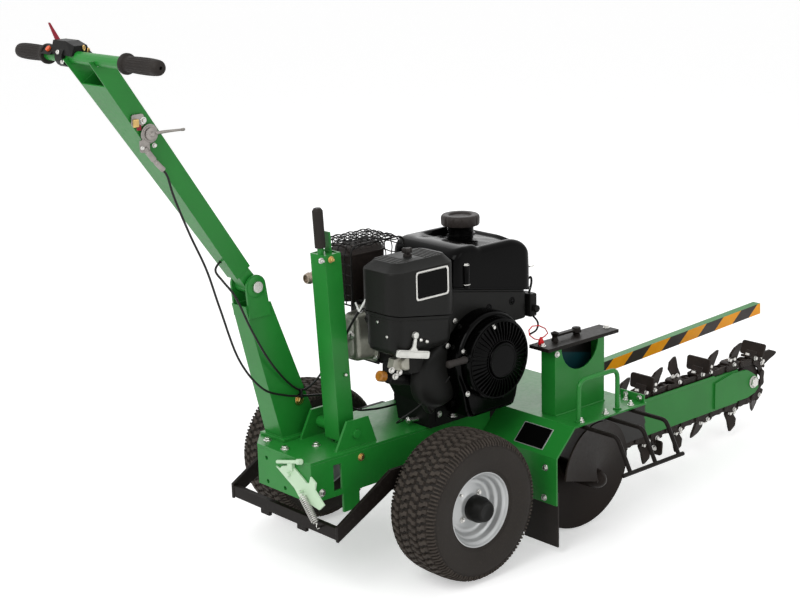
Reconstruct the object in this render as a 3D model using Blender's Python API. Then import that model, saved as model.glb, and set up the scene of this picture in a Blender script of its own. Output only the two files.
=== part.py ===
"""A walk-behind trencher, in metres: a deck on a tilting wheel carriage, an engine, a folding handle
column and a digging chain on a boom.

Inside the script, x runs forwards from the wheel axle to the boom, y runs from the near side to the far
side with 0 midway between the wheels, and z runs up from the ground. The root empty shifts all of it, so
that the middle of the machine's footprint is at the origin."""

import math

import bmesh
import bpy
from mathutils import Matrix, Vector

# Place of the wheel axle's middle in the finished frame
AXLE_X = -0.3917
AXLE_Y = 0.0686

# Clearances
FIT = 0.0003
LOOSE = 0.001
MERGE = 0.000005
ROUND = 16
FINE = 24
WHEEL_ROUND = 28

# Wheels
TYRE_RADIUS = 0.165
TYRE_WIDTH = 0.138
TYRE_SHOULDER = 0.015
RIM_RADIUS = 0.0837
RIM_WIDTH = 0.111
RIM_WALL = 0.003
HUB_RADIUS = 0.028
HUB_OUT = 0.034
HUB_CAP_RADIUS = 0.029
HUB_CAP_LENGTH = 0.041
HUB_CAP_DISC = 0.0215
HUB_CAP_TAPER = 0.018
WHEEL_Y = 0.264
AXLE_RADIUS = 0.0125

# Wheel carriage
CARRIAGE_Y = 0.185
CARRIAGE_PLATE = 0.008
CARRIAGE_REAR_X = -0.292
CARRIAGE_BAR = 0.012
CARRIAGE_BAR_LOW = 0.140
CARRIAGE_BAR_HIGH = 0.166
CARRIAGE_ARM_LOW = 0.214
CARRIAGE_ARM_HIGH = 0.259
CARRIAGE_BEND_X = -0.139
BOSS_WALL = 0.0102
BOSS_WIDTH = 0.017
TILT_X = 0.165
TILT_Z = 0.235
TILT_RADIUS = 0.010

# Deck and the box under it
DECK_TOP = 0.290
PLATE = 0.006
DECK_REAR_X = -0.288
DECK_FRONT_X = 0.275
DECK_NEAR_Y = -0.100
DECK_FAR_Y = 0.105
COLUMN_SHELF_Y = 0.135
BOX_LOW = 0.198
BOX_FRONT_X = 0.245
LEG_X = -0.178
LEG_WIDTH = 0.045
LEG_LOW = 0.155
SLOT_WIDTH = 0.024
BEARING_Y = -0.027
BEARING_LOW = 0.090
BOX_HOLE = 0.005

# Head shaft, auger and drive
HEAD_X = 0.365
HEAD_Z = 0.140
HEAD_RADIUS = 0.015
HEAD_NEAR_Y = -0.330
HEAD_FAR_Y = 0.152
SPROCKET_RADIUS = 0.044
SPROCKET_TOOTH = 0.005
SPROCKET_WIDTH = 0.008
SPROCKET_TEETH = 10
FINAL_RADIUS = 0.060
AUGER_RADIUS = 0.136
AUGER_TUBE = 0.024
AUGER_NEAR_Y = -0.353
AUGER_FAR_Y = -0.155
AUGER_PITCH = 0.118
AUGER_BLADE = 0.005
AUGER_START = 165
AUGER_TURNS = 1.6
CRANK_X = 0.165
CRANK_Z = 0.440
CLUTCH_RADIUS = 0.040
GUARD_FAR_Y = 0.165
GUARD_WALL = 0.003
GUARD_ROOM = 0.008

# Boom and chain
BOOM_Y = -0.100
BOOM_WIDTH = 0.040
BOOM_REAR_X = 0.490
TIP_X = 1.212
TIP_Z = 0.137
IDLER_RADIUS = 0.044
BOOM_FRONT_X = TIP_X - IDLER_RADIUS - 0.016
IDLER_WIDTH = 0.014
TIP_PLATE = 0.005
TIP_OUTLINE = (
    (-0.161, -0.040),
    (-0.023, -0.040),
    (0.011, -0.033),
    (0.025, -0.021),
    (0.022, 0.006),
    (0.012, 0.016),
    (-0.008, 0.029),
    (-0.027, 0.039),
    (-0.088, 0.043),
    (-0.161, 0.031),
)
TIP_BOLT = 0.008
CHAIN_INSIDE = 0.052
CHAIN_TIP_INSIDE = 0.046
CHAIN_THICK = 0.016
CHAIN_WIDTH = 0.034
TOOTH_HEIGHT = 0.057
TOOTH_WIDTH = 0.012
SCOOP_HEIGHT = 0.044
SCOOP_WIDTH = 0.080
SCOOP_PLATE = 0.006
TOOTH_SPREAD = 0.022
FIRST_SCOOP = 0.415
SCOOP_PITCH = 0.225
TOOL_PITCH = SCOOP_PITCH / 2
FIRST_TOOL = FIRST_SCOOP - TOOL_PITCH
LAST_TOOL_ROOM = 0.100
CHAIN_TOOLS = (
    "near",
    "scoop",
    "far",
    "scoop",
    "near",
    "scoop",
    "far",
    "near",
    "far",
    "near",
    "scoop",
    "far",
    "near",
    "scoop",
)
MOUNT_LENGTH = 0.110

# Hazard bar
HAZARD_Y = 0.040
HAZARD_PIVOT_X = 0.545
HAZARD_PIVOT_Z = 0.221
HAZARD_LENGTH = 0.915
HAZARD_SLOPE = 2.6
HAZARD_FACE = 0.030
HAZARD_FLANGE = 0.025
HAZARD_PLATE = 0.004
HAZARD_PIN = 0.005

# Wing plate, flap, tower, grab handle and guard bars
WING_PLATE = 0.004
WING_NEAR_Y = -0.340
WING_FRONT_X = 0.520
WING_DROP_X = 0.215
WING_DROP_LOW = 0.118
FLAP_LOW = 0.018
FLAP_WIDTH = 0.105
FLAP_LAP = 0.030
TOWER_NEAR_Y = -0.257
TOWER_FAR_Y = -0.214
TOWER_REAR_X = 0.300
TOWER_FRONT_X = 0.465
TOWER_HEIGHT = 0.158
TOWER_WALL = 0.003
TOWER_CUT_RADIUS = 0.062
TOP_PLATE = 0.008
TOP_OVERHANG = 0.009
TOP_REAR_X = 0.270
TOP_FRONT_X = 0.505
STRAP_REAR_X = 0.335
STRAP_FRONT_X = 0.407
STRAP_Y = -0.223
STRAP_RISE = 0.009
STRAP_PLATE = 0.005
STRAP_WIDTH = 0.012
LANYARD_X = 0.290
LANYARD_LOOP = (
    (0.0, 0.0140),
    (0.0116, 0.0165),
    (0.0221, 0.0219),
    (0.0136, 0.0346),
    (-0.0071, 0.0456),
    (-0.0278, 0.0485),
    (-0.0390, 0.0413),
    (-0.0373, 0.0294),
    (-0.0215, 0.0173),
    (0.0, 0.0095),
)
LANYARD_WIRE = 0.0015
GRAB_Y = -0.320
GRAB_REAR_X = 0.310
GRAB_FRONT_X = 0.440
GRAB_HEIGHT = 0.095
GRAB_RADIUS = 0.0055
GRAB_BEND = 0.022
GUARD_ROD = 0.005
GUARD_REACH = 0.095
GUARD_OUT = 0.056
GUARD_DROP = 0.074
GUARD_ROOT_Y = -0.300
GUARD_STATIONS = (0.310, 0.395, 0.475)

# Handle column
FOOT_REAR_X = -0.236
FOOT_FRONT_X = -0.130
FOOT_NEAR_Y = 0.062
FOOT_FAR_Y = 0.124
FLANGE_REAR_X = -0.245
FLANGE_FRONT_X = -0.100
FLANGE_NEAR_Y = 0.047
FLANGE_FAR_Y = 0.133
COLUMN_TOP_Z = 0.610
COLUMN_TOP_REAR_X = -0.318
COLUMN_TOP_FRONT_X = -0.250
COLUMN_TOP_NEAR_Y = 0.065
COLUMN_TOP_FAR_Y = 0.115
COLUMN_WALL = 0.004
FOLD_X = -0.290
FOLD_Z = 0.651
EAR_RADIUS = 0.026
EAR_PLATE = 0.0055
EAR_INSIDE_NEAR = 0.0662
EAR_INSIDE_FAR = 0.1138
FOLD_PIN = 0.008
PIN_HEAD = 0.0125
HANDLE_SLOPE = 55.3
HANDLE_REAR_X = -0.333
HANDLE_LOW_Z = 0.673
HANDLE_DEPTH = 0.0425
HANDLE_WALL = 0.003
HANDLE_LENGTH = 0.612
HANDLE_CLOSED = HANDLE_LENGTH - 0.072
HANDLE_LOW_NEAR_Y = 0.068
HANDLE_LOW_FAR_Y = 0.104
HANDLE_TOP_NEAR_Y = 0.0363
HANDLE_TOP_FAR_Y = 0.1337
NECK_RADIUS = 0.018
BAR_ALONG = HANDLE_LENGTH - 0.022
BAR_RADIUS = 0.0125
BAR_WALL = 0.002
BAR_MIDDLE_Y = 0.085
GRIP_START = 0.139
GRIP_LENGTH = 0.118
GRIP_RADIUS = 0.0165
GRIP_FLANGE = 0.0205
STOP_CABLE_HOLE = 0.0045
STOP_CABLE_ALONG = 0.050

# Controls on the handle
CLAMP_RADIUS = 0.021
CLAMP_NEAR_Y = 0.143
CLAMP_FAR_Y = 0.170
POD_NEAR_Y = 0.112
POD_FAR_Y = 0.190
POD_REAR = 0.017
POD_FRONT = 0.026
POD_TOP = 0.031
SWITCH_FAR_Y = 0.2225
SWITCH_FACE = 0.0176
SWITCH_LOW = 0.003
SWITCH_TOP = 0.020
SWITCH_FRONT = -0.0026
STOP_AHEAD = 0.0064
STOP_ABOVE = 0.0223
STOP_HUB = 0.008
STOP_HEIGHT = 0.040
STOP_SPREAD = 0.026
BUTTON_Y = 0.203
BUTTON_RADIUS = 0.006
BUTTON_TRAVEL = 0.002
BUTTON_WAY = (-0.722, 0, 0.692)
THROTTLE_ALONG = 0.4030
THROTTLE_DEPTH = 0.0188
THROTTLE_DISC = 0.021
THROTTLE_PLATE = 0.0065
THROTTLE_GAP = 0.004
THROTTLE_ARM = 0.078
THROTTLE_HUB = 0.013
THROTTLE_SEAT = 0.011
ADJUSTER_RADIUS = 0.006
ADJUSTER_DROP = 0.079
ADJUSTER_AHEAD = 0.028
CABLE_RADIUS = 0.0025
CABLE_SPACING = 0.028

# Post lever
POST_X = -0.149
POST_Z = 0.320
POST_LEAN = 3.0
POST_NEAR_Y = -0.055
POST_FAR_Y = -0.005
POST_DEPTH = 0.043
POST_WALL = 0.003
POST_BELOW = 0.020
POST_HEIGHT = 0.400
TONGUE_DOWN = 0.085
TONGUE_WIDTH = 0.016
POST_PIN = 0.008
POST_PIN_HEAD = 0.0095
SPACER_RADIUS = 0.013
BRACKET_NEAR_Y = -0.080
BRACKET_FAR_Y = 0.037
BRACKET_PLATE = 0.006
BRACKET_HEIGHT = 0.062
BRACKET_FOOT = (-0.205, -0.090)
BRACKET_TOP = (-0.172, -0.112)
GRIP_ROD = 0.007
POST_GRIP_RADIUS = 0.0118
POST_GRIP_LENGTH = 0.086
POST_GRIP_UP = 0.014
POST_GRIP_BACK = 0.0125
TAB_HEIGHT = 0.046
TAB_PLATE = 0.003
TAB_WIDTH = 0.020

# Rear latch
LATCH_PLATE = 0.004
LATCH_Y = -0.030
LATCH_Z = 0.250
LATCH_PIN = 0.005
LATCH_OUTLINE = (
    (0.048, 0.006),
    (0.034, 0.004),
    (0.025, 0.012),
    (-0.010, 0.022),
    (-0.049, 0.000),
    (-0.058, -0.006),
    (-0.068, -0.003),
    (-0.073, 0.012),
    (-0.090, 0.002),
    (-0.086, -0.015),
    (-0.116, -0.041),
    (-0.099, -0.056),
    (-0.030, -0.044),
    (-0.015, -0.028),
)
SPRING_RADIUS = 0.0072
SPRING_WIRE = 0.0011
SPRING_CURLS = 12
SPRING_POINTS = 8
SPRING_TOP = (LATCH_Y - 0.0467, LATCH_Z - 0.0264)
SPRING_LOW = (-0.1337, 0.159)
SPRING_PEG = 0.0025
SPRING_OUT = 0.009

# Engine
ENGINE_NEAR_Y = -0.115
ENGINE_FAR_Y = 0.100
CASE_REAR_X = 0.002
CASE_FRONT_X = 0.285
CASE_TOP = 0.500
CASE_STEP_X = 0.125
CASE_STEP_Y = -0.005
HOUSING_Z = 0.447
HOUSING_FOOT_Z = 0.318
HOUSING_FOOT = 0.070
HOUSING_RADIUS = 0.105
HOUSING_FACE_Y = -0.195
RECOIL_RADIUS = 0.093
RECOIL_DEPTH = 0.030
ROPE_Z = 0.465
ROPE_GRIP_X = (0.015, 0.070)
ROPE_GRIP_RADIUS = 0.0085
CYLINDER_REAR_X = -0.040
CYLINDER_FRONT_X = 0.080
CYLINDER_NEAR_Y = -0.085
CYLINDER_FAR_Y = 0.048
CYLINDER_LOW = 0.430
CYLINDER_TOP = 0.580
FIN_COUNT = 4
FIN_PITCH = 0.010
FIN_THICK = 0.004
ROCKER_DEPTH = 0.058
ROCKER_NEAR_Y = -0.0475
ROCKER_FAR_Y = 0.022
ROCKER_LOW = 0.450
ROCKER_TOP = 0.574
MUFFLER_NEAR_Y = 0.010
MUFFLER_FAR_Y = 0.090
MUFFLER_REAR_X = -0.085
MUFFLER_FRONT_X = 0.050
MUFFLER_LOW = CYLINDER_TOP + FIT
MUFFLER_TOP = 0.706
MUFFLER_TRIM = 0.014
EXHAUST_RADIUS = 0.0135
EXHAUST_WALL = 0.002
EXHAUST_OUT = 0.040
NET_REAR_X = -0.100
NET_FRONT_X = 0.058
NET_NEAR_Y = -0.030
NET_FAR_Y = 0.098
NET_LOW = 0.585
NET_TOP = 0.722
NET_WIRE = 0.003
NET_STEP = 0.0005
NET_LENGTHS = 5
NET_COLUMNS = 4
NET_ROWS = 4
CLEANER_NEAR_Y = -0.190
CLEANER_FAR_Y = -0.072
CLEANER_REAR_X = -0.118
CLEANER_FRONT_X = 0.066
CLEANER_CORNER = 0.030
CLEANER_INSET = 0.006
CLEANER_LOW = 0.500
CLEANER_SEAM_REAR = 0.594
CLEANER_SEAM_FRONT = 0.565
CLEANER_TOP = 0.700
CLEANER_CROWN = 0.016
THROAT_REAR_X = -0.030
THROAT_FRONT_X = 0.050
THROAT_NEAR_Y = -0.140
THROAT_DROP = 0.060
KNOB_X = -0.020
KNOB_Y = -0.125
KNOB_RADIUS = 0.013
TANK_NEAR_Y = -0.160
TANK_FAR_Y = 0.052
TANK_FLOOR_REAR = 0.612
TANK_FLOOR_FRONT = 0.565
TANK_EDGE = 0.016
TANK_TOP = 0.700
TANK_REAR_X = 0.080
TANK_FRONT_X = 0.335
COWL_NEAR_Y = -0.150
COWL_FAR_Y = -0.032
CAP_X = 0.256
CAP_Y = 0.0
CAP_RADIUS = 0.045
CAP_LOW = 0.707
CAP_TOP = 0.732
NECK_OF_TANK = 0.030
CHOKE_X = -0.054
CHOKE_Z = 0.543
CHOKE_TILT = 20.0
CHOKE_HANDLE = 0.094
CHOKE_DROP = 0.041
CHOKE_BAR = 0.0085
CHOKE_PLATE = 0.006
OIL_ROOT_X = 0.020
OIL_ROOT_Z = 0.404
OIL_X = -0.0577
OIL_Y = -0.100
OIL_Z = 0.430
OIL_RADIUS = 0.012
OIL_LENGTH = 0.034

# Routes of the two held cables, as chosen points
THROTTLE_ROUTE = (
    (-0.5187, 0.0400, 0.9355),
    (-0.511, 0.040, 0.923),
    (-0.500, 0.038, 0.880),
    (-0.469, 0.036, 0.799),
    (-0.434, 0.034, 0.718),
    (-0.405, 0.034, 0.628),
    (-0.364, 0.034, 0.510),
    (-0.303, 0.040, 0.431),
    (-0.234, 0.048, 0.397),
    (-0.174, 0.050, 0.382),
    (-0.121, 0.046, 0.372),
    (-0.083, 0.040, 0.350),
    (-0.045, 0.036, 0.322),
    (-0.004, 0.030, 0.314),
    (0.030, 0.024, 0.3125),
    (0.075, 0.022, 0.3125),
    (CASE_STEP_X - FIT, 0.022, 0.3125),
)
STOP_ROUTE = (
    (-0.338, 0.086, 0.7303),
    (-0.353, 0.086, 0.7200),
    (-0.370, 0.086, 0.7083),
    (-0.379, 0.080, 0.696),
    (-0.372, 0.064, 0.676),
    (-0.352, 0.050, 0.640),
    (-0.318, 0.046, 0.562),
    (-0.271, 0.048, 0.481),
    (-0.217, 0.0535, 0.418),
    (-0.179, 0.0575, 0.395),
    (-0.149, 0.052, 0.408),
    (-0.122, 0.044, 0.440),
    (-0.098, 0.038, 0.482),
    (-0.070, 0.036, 0.507),
    (-0.053, 0.036, 0.518),
    (-0.0406, 0.036, 0.518),
)

GREEN = ("green_paint", (0.010, 0.140, 0.018), 0.35, 0.0)
PALE_GREEN = ("pale_green_paint", (0.10, 0.30, 0.10), 0.35, 0.0)
BLACK_PAINT = ("black_paint", (0.012, 0.012, 0.012), 0.4, 0.0)
BLACK_PLASTIC = ("black_plastic", (0.015, 0.015, 0.015), 0.5, 0.0)
GLOSS_BLACK = ("gloss_black", (0.006, 0.006, 0.007), 0.15, 0.0)
RUBBER = ("rubber", (0.020, 0.018, 0.016), 0.8, 0.0)
SILVER = ("silver_paint", (0.45, 0.46, 0.47), 0.35, 0.6)
STEEL = ("steel", (0.50, 0.49, 0.46), 0.35, 1.0)
ALLOY = ("cast_alloy", (0.40, 0.40, 0.38), 0.5, 1.0)
RED = ("red_plastic", (0.45, 0.010, 0.020), 0.4, 0.0)
ORANGE = ("orange_plastic", (0.80, 0.12, 0.02), 0.4, 0.0)
AMBER = ("amber_plastic", (0.55, 0.22, 0.02), 0.3, 0.0)
CHAIN_METAL = ("chain_metal", (0.030, 0.028, 0.026), 0.45, 0.6)

for old in list(bpy.data.objects):
    bpy.data.objects.remove(old)

root = bpy.data.objects.new("trencher", None)
bpy.context.scene.collection.objects.link(root)
root.location = (AXLE_X, AXLE_Y, 0)


def piece(bm):
    """The mesh as an object, its faces pointing out."""
    bmesh.ops.recalc_face_normals(bm, faces=bm.faces)
    mesh = bpy.data.meshes.new("piece")
    bm.to_mesh(mesh)
    bm.free()
    made = bpy.data.objects.new("piece", mesh)
    bpy.context.scene.collection.objects.link(made)
    return made


def in_space(point, axis, level):
    first, second = point
    return {"X": (level, first, second), "Y": (first, level, second), "Z": (first, second, level)}[axis]


def prism(outline, axis, low, high):
    """An outline across an axis, drawn out from low to high."""
    bm = bmesh.new()
    ends = []
    for level in (low, high):
        ends.append([bm.verts.new(in_space(point, axis, level)) for point in outline])
    bm.faces.new(ends[0])
    bm.faces.new(ends[1])
    for i in range(len(outline)):
        j = (i + 1) % len(outline)
        bm.faces.new((ends[0][i], ends[0][j], ends[1][j], ends[1][i]))
    return piece(bm)


def block(x, y, z):
    """A box between two x, two y and two z values."""
    corners = ((x[0], y[0]), (x[1], y[0]), (x[1], y[1]), (x[0], y[1]))
    return prism(corners, "Z", z[0], z[1])


def hull(points):
    """The smallest convex solid round the points."""
    bm = bmesh.new()
    for point in points:
        bm.verts.new(point)
    result = bmesh.ops.convex_hull(bm, input=bm.verts)
    inner = {item for item in result["geom_interior"] if isinstance(item, bmesh.types.BMVert)}
    bmesh.ops.delete(bm, geom=list(inner), context="VERTS")
    return piece(bm)


def circle(x, z, radius, steps=ROUND):
    """Points round a circle, in any two axes."""
    turn = 2 * math.pi / steps
    return [(x + radius * math.cos(i * turn), z + radius * math.sin(i * turn)) for i in range(steps)]


def hull_plate(outline, axis, low, high):
    """The convex plate round an outline, between two levels."""
    return hull([in_space(point, axis, level) for level in (low, high) for point in outline])


def turned(profile, base, direction, sides=ROUND):
    """A profile of (radius, height) points turned about the line from base along direction."""
    bm = bmesh.new()
    turn = Vector((0, 0, 1)).rotation_difference(Vector(direction)).to_matrix()
    rings = []
    for radius, height in profile:
        count = 1 if radius == 0 else sides
        ring = []
        for i in range(count):
            angle = 2 * math.pi * i / sides
            point = Vector((radius * math.cos(angle), radius * math.sin(angle), height))
            ring.append(bm.verts.new(Vector(base) + turn @ point))
        rings.append(ring)
    for first, second in zip(rings, rings[1:] + rings[:1]):
        if len(first) == len(second) == 1:
            continue
        for i in range(sides):
            j = i + 1
            corners = (
                first[i % len(first)],
                first[j % len(first)],
                second[j % len(second)],
                second[i % len(second)],
            )
            bm.faces.new(tuple(dict.fromkeys(corners)))
    return piece(bm)


def rod(start, end, radius, sides=ROUND):
    """A round bar between two points."""
    along = Vector(end) - Vector(start)
    return turned(((0, 0), (radius, 0), (radius, along.length), (0, along.length)), start, along, sides)


def pipe(start, end, inside, outside, sides=ROUND):
    """A round tube between two points."""
    along = Vector(end) - Vector(start)
    size = along.length
    return turned(((inside, 0), (outside, 0), (outside, size), (inside, size)), start, along, sides)


def swept(points, radius, sides=8):
    """A round bar along a list of points."""
    points = [Vector(point) for point in points]
    bm = bmesh.new()
    across = (points[1] - points[0]).orthogonal().normalized()
    rings = []
    for i, point in enumerate(points):
        along = (points[min(i + 1, len(points) - 1)] - points[max(i - 1, 0)]).normalized()
        across = (across - along * across.dot(along)).normalized()
        other = along.cross(across)
        ring = []
        for j in range(sides):
            angle = 2 * math.pi * j / sides
            ring.append(bm.verts.new(point + radius * (math.cos(angle) * across + math.sin(angle) * other)))
        rings.append(ring)
    for first, second in zip(rings, rings[1:]):
        for j in range(sides):
            k = (j + 1) % sides
            bm.faces.new((first[j], first[k], second[k], second[j]))
    bm.faces.new(rings[0])
    bm.faces.new(rings[-1])
    return piece(bm)


def bent(corners, radius, steps=4):
    """The corners' path with each inner corner rounded."""
    corners = [Vector(corner) for corner in corners]
    path = [corners[0]]
    for before, corner, after in zip(corners, corners[1:], corners[2:]):
        start = corner + (before - corner).normalized() * radius
        end = corner + (after - corner).normalized() * radius
        for i in range(steps + 1):
            t = i / steps
            path.append(start * (1 - t) ** 2 + corner * 2 * t * (1 - t) + end * t**2)
    return path + [corners[-1]]


def smooth(route, spacing):
    """Points about a spacing apart on a smooth curve through a route's points."""
    route = [Vector(point) for point in route]
    padded = [2 * route[0] - route[1]] + route + [2 * route[-1] - route[-2]]
    path = [route[0]]
    for a, b, c, d in zip(padded, padded[1:], padded[2:], padded[3:]):
        steps = max(1, round((c - b).length / spacing))
        for i in range(1, steps + 1):
            t = i / steps
            curve = 2 * b + (c - a) * t + (2 * a - 5 * b + 4 * c - d) * t**2 + (3 * b - a - 3 * c + d) * t**3
            path.append(curve / 2)
    return path


def combined(base, others, operation):
    """Base joined with the other pieces, or cut by them."""
    for other in others:
        step = base.modifiers.new(operation, "BOOLEAN")
        step.object = other
        step.operation = operation
        step.solver = "EXACT"
    bpy.context.view_layer.update()
    graph = bpy.context.evaluated_depsgraph_get()
    mesh = bpy.data.meshes.new_from_object(base.evaluated_get(graph))
    bm = bmesh.new()
    bm.from_mesh(mesh)
    bmesh.ops.remove_doubles(bm, verts=bm.verts, dist=MERGE)
    bm.to_mesh(mesh)
    bm.free()
    base.modifiers.clear()
    base.data = mesh
    for other in others:
        bpy.data.objects.remove(other)
    return base


def fused(pieces, cuts=()):
    """Overlapping pieces as one solid, less the cutters."""
    made = combined(pieces[0], pieces[1:], "UNION") if len(pieces) > 1 else pieces[0]
    return combined(made, cuts, "DIFFERENCE") if cuts else made


def leaned(made, pivot, degrees):
    """The object turned about a line along y through the pivot."""
    place = Matrix.Translation(Vector(pivot))
    made.data.transform(place @ Matrix.Rotation(math.radians(degrees), 4, "Y") @ place.inverted())
    return made


def paint(made, look):
    name, color, roughness, metallic = look
    material = bpy.data.materials.get(name)
    if material is None:
        material = bpy.data.materials.new(name)
        material.use_nodes = True
        shader = material.node_tree.nodes["Principled BSDF"]
        shader.inputs["Base Color"].default_value = (*color, 1)
        shader.inputs["Roughness"].default_value = roughness
        shader.inputs["Metallic"].default_value = metallic
    made.data.materials.clear()
    made.data.materials.append(material)


def node(made, name, look, pivot=(0, 0, 0)):
    """Names a solid, paints it and hangs it on the root with its origin at the pivot."""
    made.name = name
    made.data.name = name
    made.data.transform(Matrix.Translation(-Vector(pivot)))
    made.location = pivot
    made.parent = root
    paint(made, look)
    if made.type == "MESH":
        made.data.shade_smooth()
        made.data.set_sharp_from_angle(angle=math.radians(35))
    return made


def round_curve(name, points, radius, look, resolution):
    """A wire or cable as a curve with filled ends."""
    data = bpy.data.curves.new(name, "CURVE")
    data.dimensions = "3D"
    data.bevel_depth = radius
    data.bevel_resolution = resolution
    data.use_fill_caps = True
    spline = data.splines.new("POLY")
    spline.points.add(len(points) - 1)
    for target, point in zip(spline.points, points):
        target.co = (*point, 1)
    made = bpy.data.objects.new(name, data)
    bpy.context.scene.collection.objects.link(made)
    made.parent = root
    paint(made, look)
    return made


def arc(start, end, steps):
    """Angles in radians from start to end, given in degrees."""
    return [math.radians(start + (end - start) * i / steps) for i in range(steps + 1)]


def on_handle(along, depth):
    """The x and z of a point of the handle column, from its lower rear edge."""
    slope = math.radians(HANDLE_SLOPE)
    x = HANDLE_REAR_X - along * math.cos(slope) + depth * math.sin(slope)
    z = HANDLE_LOW_Z + along * math.sin(slope) + depth * math.cos(slope)
    return x, z


def handle_sides(along):
    """The near and far y of the handle column at a distance along it."""
    share = along / HANDLE_LENGTH
    near = HANDLE_LOW_NEAR_Y + (HANDLE_TOP_NEAR_Y - HANDLE_LOW_NEAR_Y) * share
    far = HANDLE_LOW_FAR_Y + (HANDLE_TOP_FAR_Y - HANDLE_LOW_FAR_Y) * share
    return near, far


def handle_near(x, z):
    """The y of the handle column's near face at a place given by x and z."""
    slope = math.radians(HANDLE_SLOPE)
    along = (HANDLE_REAR_X - x) * math.cos(slope) + (z - HANDLE_LOW_Z) * math.sin(slope)
    return handle_sides(along)[0]


def slanted(x, low, high, span):
    """The height of a line that falls from low's end to high's end over a span."""
    return low + (high - low) * (x - span[0]) / (span[1] - span[0])


BAR_X, BAR_Z = on_handle(BAR_ALONG, HANDLE_DEPTH / 2)
STOP_X = BAR_X + STOP_AHEAD
STOP_Z = BAR_Z + STOP_ABOVE
THROTTLE_X, THROTTLE_Z = on_handle(THROTTLE_ALONG, THROTTLE_DEPTH)
THROTTLE_BACK_Y = handle_near(THROTTLE_X, THROTTLE_Z) - THROTTLE_GAP
CABLE_START = (THROTTLE_X + ADJUSTER_AHEAD, THROTTLE_BACK_Y - 0.0035, THROTTLE_Z - ADJUSTER_DROP)


def wheel(side, label):
    """A tyre, its rim and its hub cap. side is -1 near, 1 far."""
    centre = (0, side * WHEEL_Y, TYRE_RADIUS)
    out = (0, side, 0)
    half = TYRE_WIDTH / 2
    bead = RIM_WIDTH / 2 - LOOSE
    seat = RIM_RADIUS + FIT
    tread = TYRE_RADIUS - 0.002
    right = (
        (seat, bead),
        (seat + 0.016, half - 0.003),
        (TYRE_RADIUS - 2.4 * TYRE_SHOULDER, half),
        (TYRE_RADIUS - TYRE_SHOULDER, half - 0.007),
        (tread, half - 0.028),
        (TYRE_RADIUS, half - 0.054),
    )
    left = [(radius, -height) for radius, height in reversed(right)]
    tyre = turned((*right, *left), centre, out, WHEEL_ROUND)
    node(tyre, f"tyre_{label}", RUBBER, centre)

    edge = RIM_WIDTH / 2
    bore = AXLE_RADIUS + FIT
    inner = RIM_RADIUS - RIM_WALL
    profile = (
        (RIM_RADIUS, -edge),
        (RIM_RADIUS, edge),
        (inner, edge),
        (inner - 0.006, 0.030),
        (0.054, 0.018),
        (0.044, 0.030),
        (HUB_RADIUS, 0.030),
        (HUB_RADIUS, HUB_OUT),
        (bore, HUB_OUT),
        (bore, -0.030),
        (HUB_RADIUS, -0.030),
        (HUB_RADIUS, 0.010),
        (0.054, 0.010),
        (inner - 0.008, 0.022),
        (inner, 0.010),
        (inner, -edge),
    )
    node(turned(profile, centre, out, WHEEL_ROUND), f"rim_{label}", SILVER, centre)

    start = HUB_OUT + FIT
    end = start + HUB_CAP_LENGTH
    profile = (
        (0, start),
        (HUB_CAP_RADIUS, start),
        (HUB_CAP_RADIUS, end - HUB_CAP_TAPER),
        (HUB_CAP_DISC, end - HUB_CAP_TAPER / 3),
        (HUB_CAP_DISC - 0.002, end),
        (0, end),
    )
    node(turned(profile, centre, out, 16), f"hub_cap_{label}", BLACK_PLASTIC, centre)


def carriage():
    """The tilting black frame that holds the axle, and the axle."""
    axle_z = TYRE_RADIUS
    outline = (
        (CARRIAGE_REAR_X, CARRIAGE_BAR_LOW - 0.004),
        (CARRIAGE_BEND_X, CARRIAGE_ARM_LOW),
        (-0.050, CARRIAGE_ARM_LOW),
        (-0.026, axle_z - 0.020),
        (0.026, axle_z - 0.020),
        (0.050, CARRIAGE_ARM_LOW - 0.004),
        (TILT_X, CARRIAGE_ARM_LOW - 0.004),
        (TILT_X + 0.018, TILT_Z - 0.008),
        (TILT_X + 0.018, TILT_Z + 0.010),
        (TILT_X, CARRIAGE_ARM_HIGH),
        (CARRIAGE_BEND_X, CARRIAGE_ARM_HIGH),
        (CARRIAGE_REAR_X, CARRIAGE_BAR_HIGH + 0.004),
    )
    half = CARRIAGE_PLATE / 2
    bar_x = (CARRIAGE_REAR_X + LOOSE, CARRIAGE_REAR_X + LOOSE + CARRIAGE_BAR)
    bar_z = (CARRIAGE_BAR_LOW, CARRIAGE_BAR_HIGH)
    pieces = [block(bar_x, (-CARRIAGE_Y, CARRIAGE_Y), bar_z)]
    bearings = ((0, axle_z, AXLE_RADIUS), (TILT_X, TILT_Z, TILT_RADIUS))
    over = CARRIAGE_Y + 0.02
    cuts = [rod((x, -over, z), (x, over, z), radius + FIT) for x, z, radius in bearings]
    for side in (-1, 1):
        middle = side * CARRIAGE_Y
        pieces.append(prism(outline, "Y", middle - half, middle + half))
        outer = middle + side * (half + LOOSE)
        inner = outer - side * BOSS_WIDTH
        for x, z, radius in bearings:
            boss = radius + BOSS_WALL
            pieces.append(rod((x, min(inner, outer), z), (x, max(inner, outer), z), boss, FINE - 2))
    for low, high in ((-0.075, -0.045), (0.055, 0.085)):
        lug_x = (bar_x[0] + 0.002, bar_x[1] - 0.002)
        pieces.append(block(lug_x, (low, high), (CARRIAGE_BAR_LOW - 0.012, CARRIAGE_BAR_LOW + 0.005)))
    peg_x = (bar_x[0] - SPRING_OUT - 0.003, bar_x[0] + 0.001)
    pieces.append(rod((peg_x[0], *SPRING_LOW), (peg_x[1], *SPRING_LOW), SPRING_PEG, 10))
    node(fused(pieces, cuts), "carriage_frame", BLACK_PAINT, (TILT_X, 0, TILT_Z))

    end = WHEEL_Y + HUB_OUT - FIT
    node(rod((0, -end, axle_z), (0, end, axle_z), AXLE_RADIUS), "axle", STEEL, (0, 0, axle_z))


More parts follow.
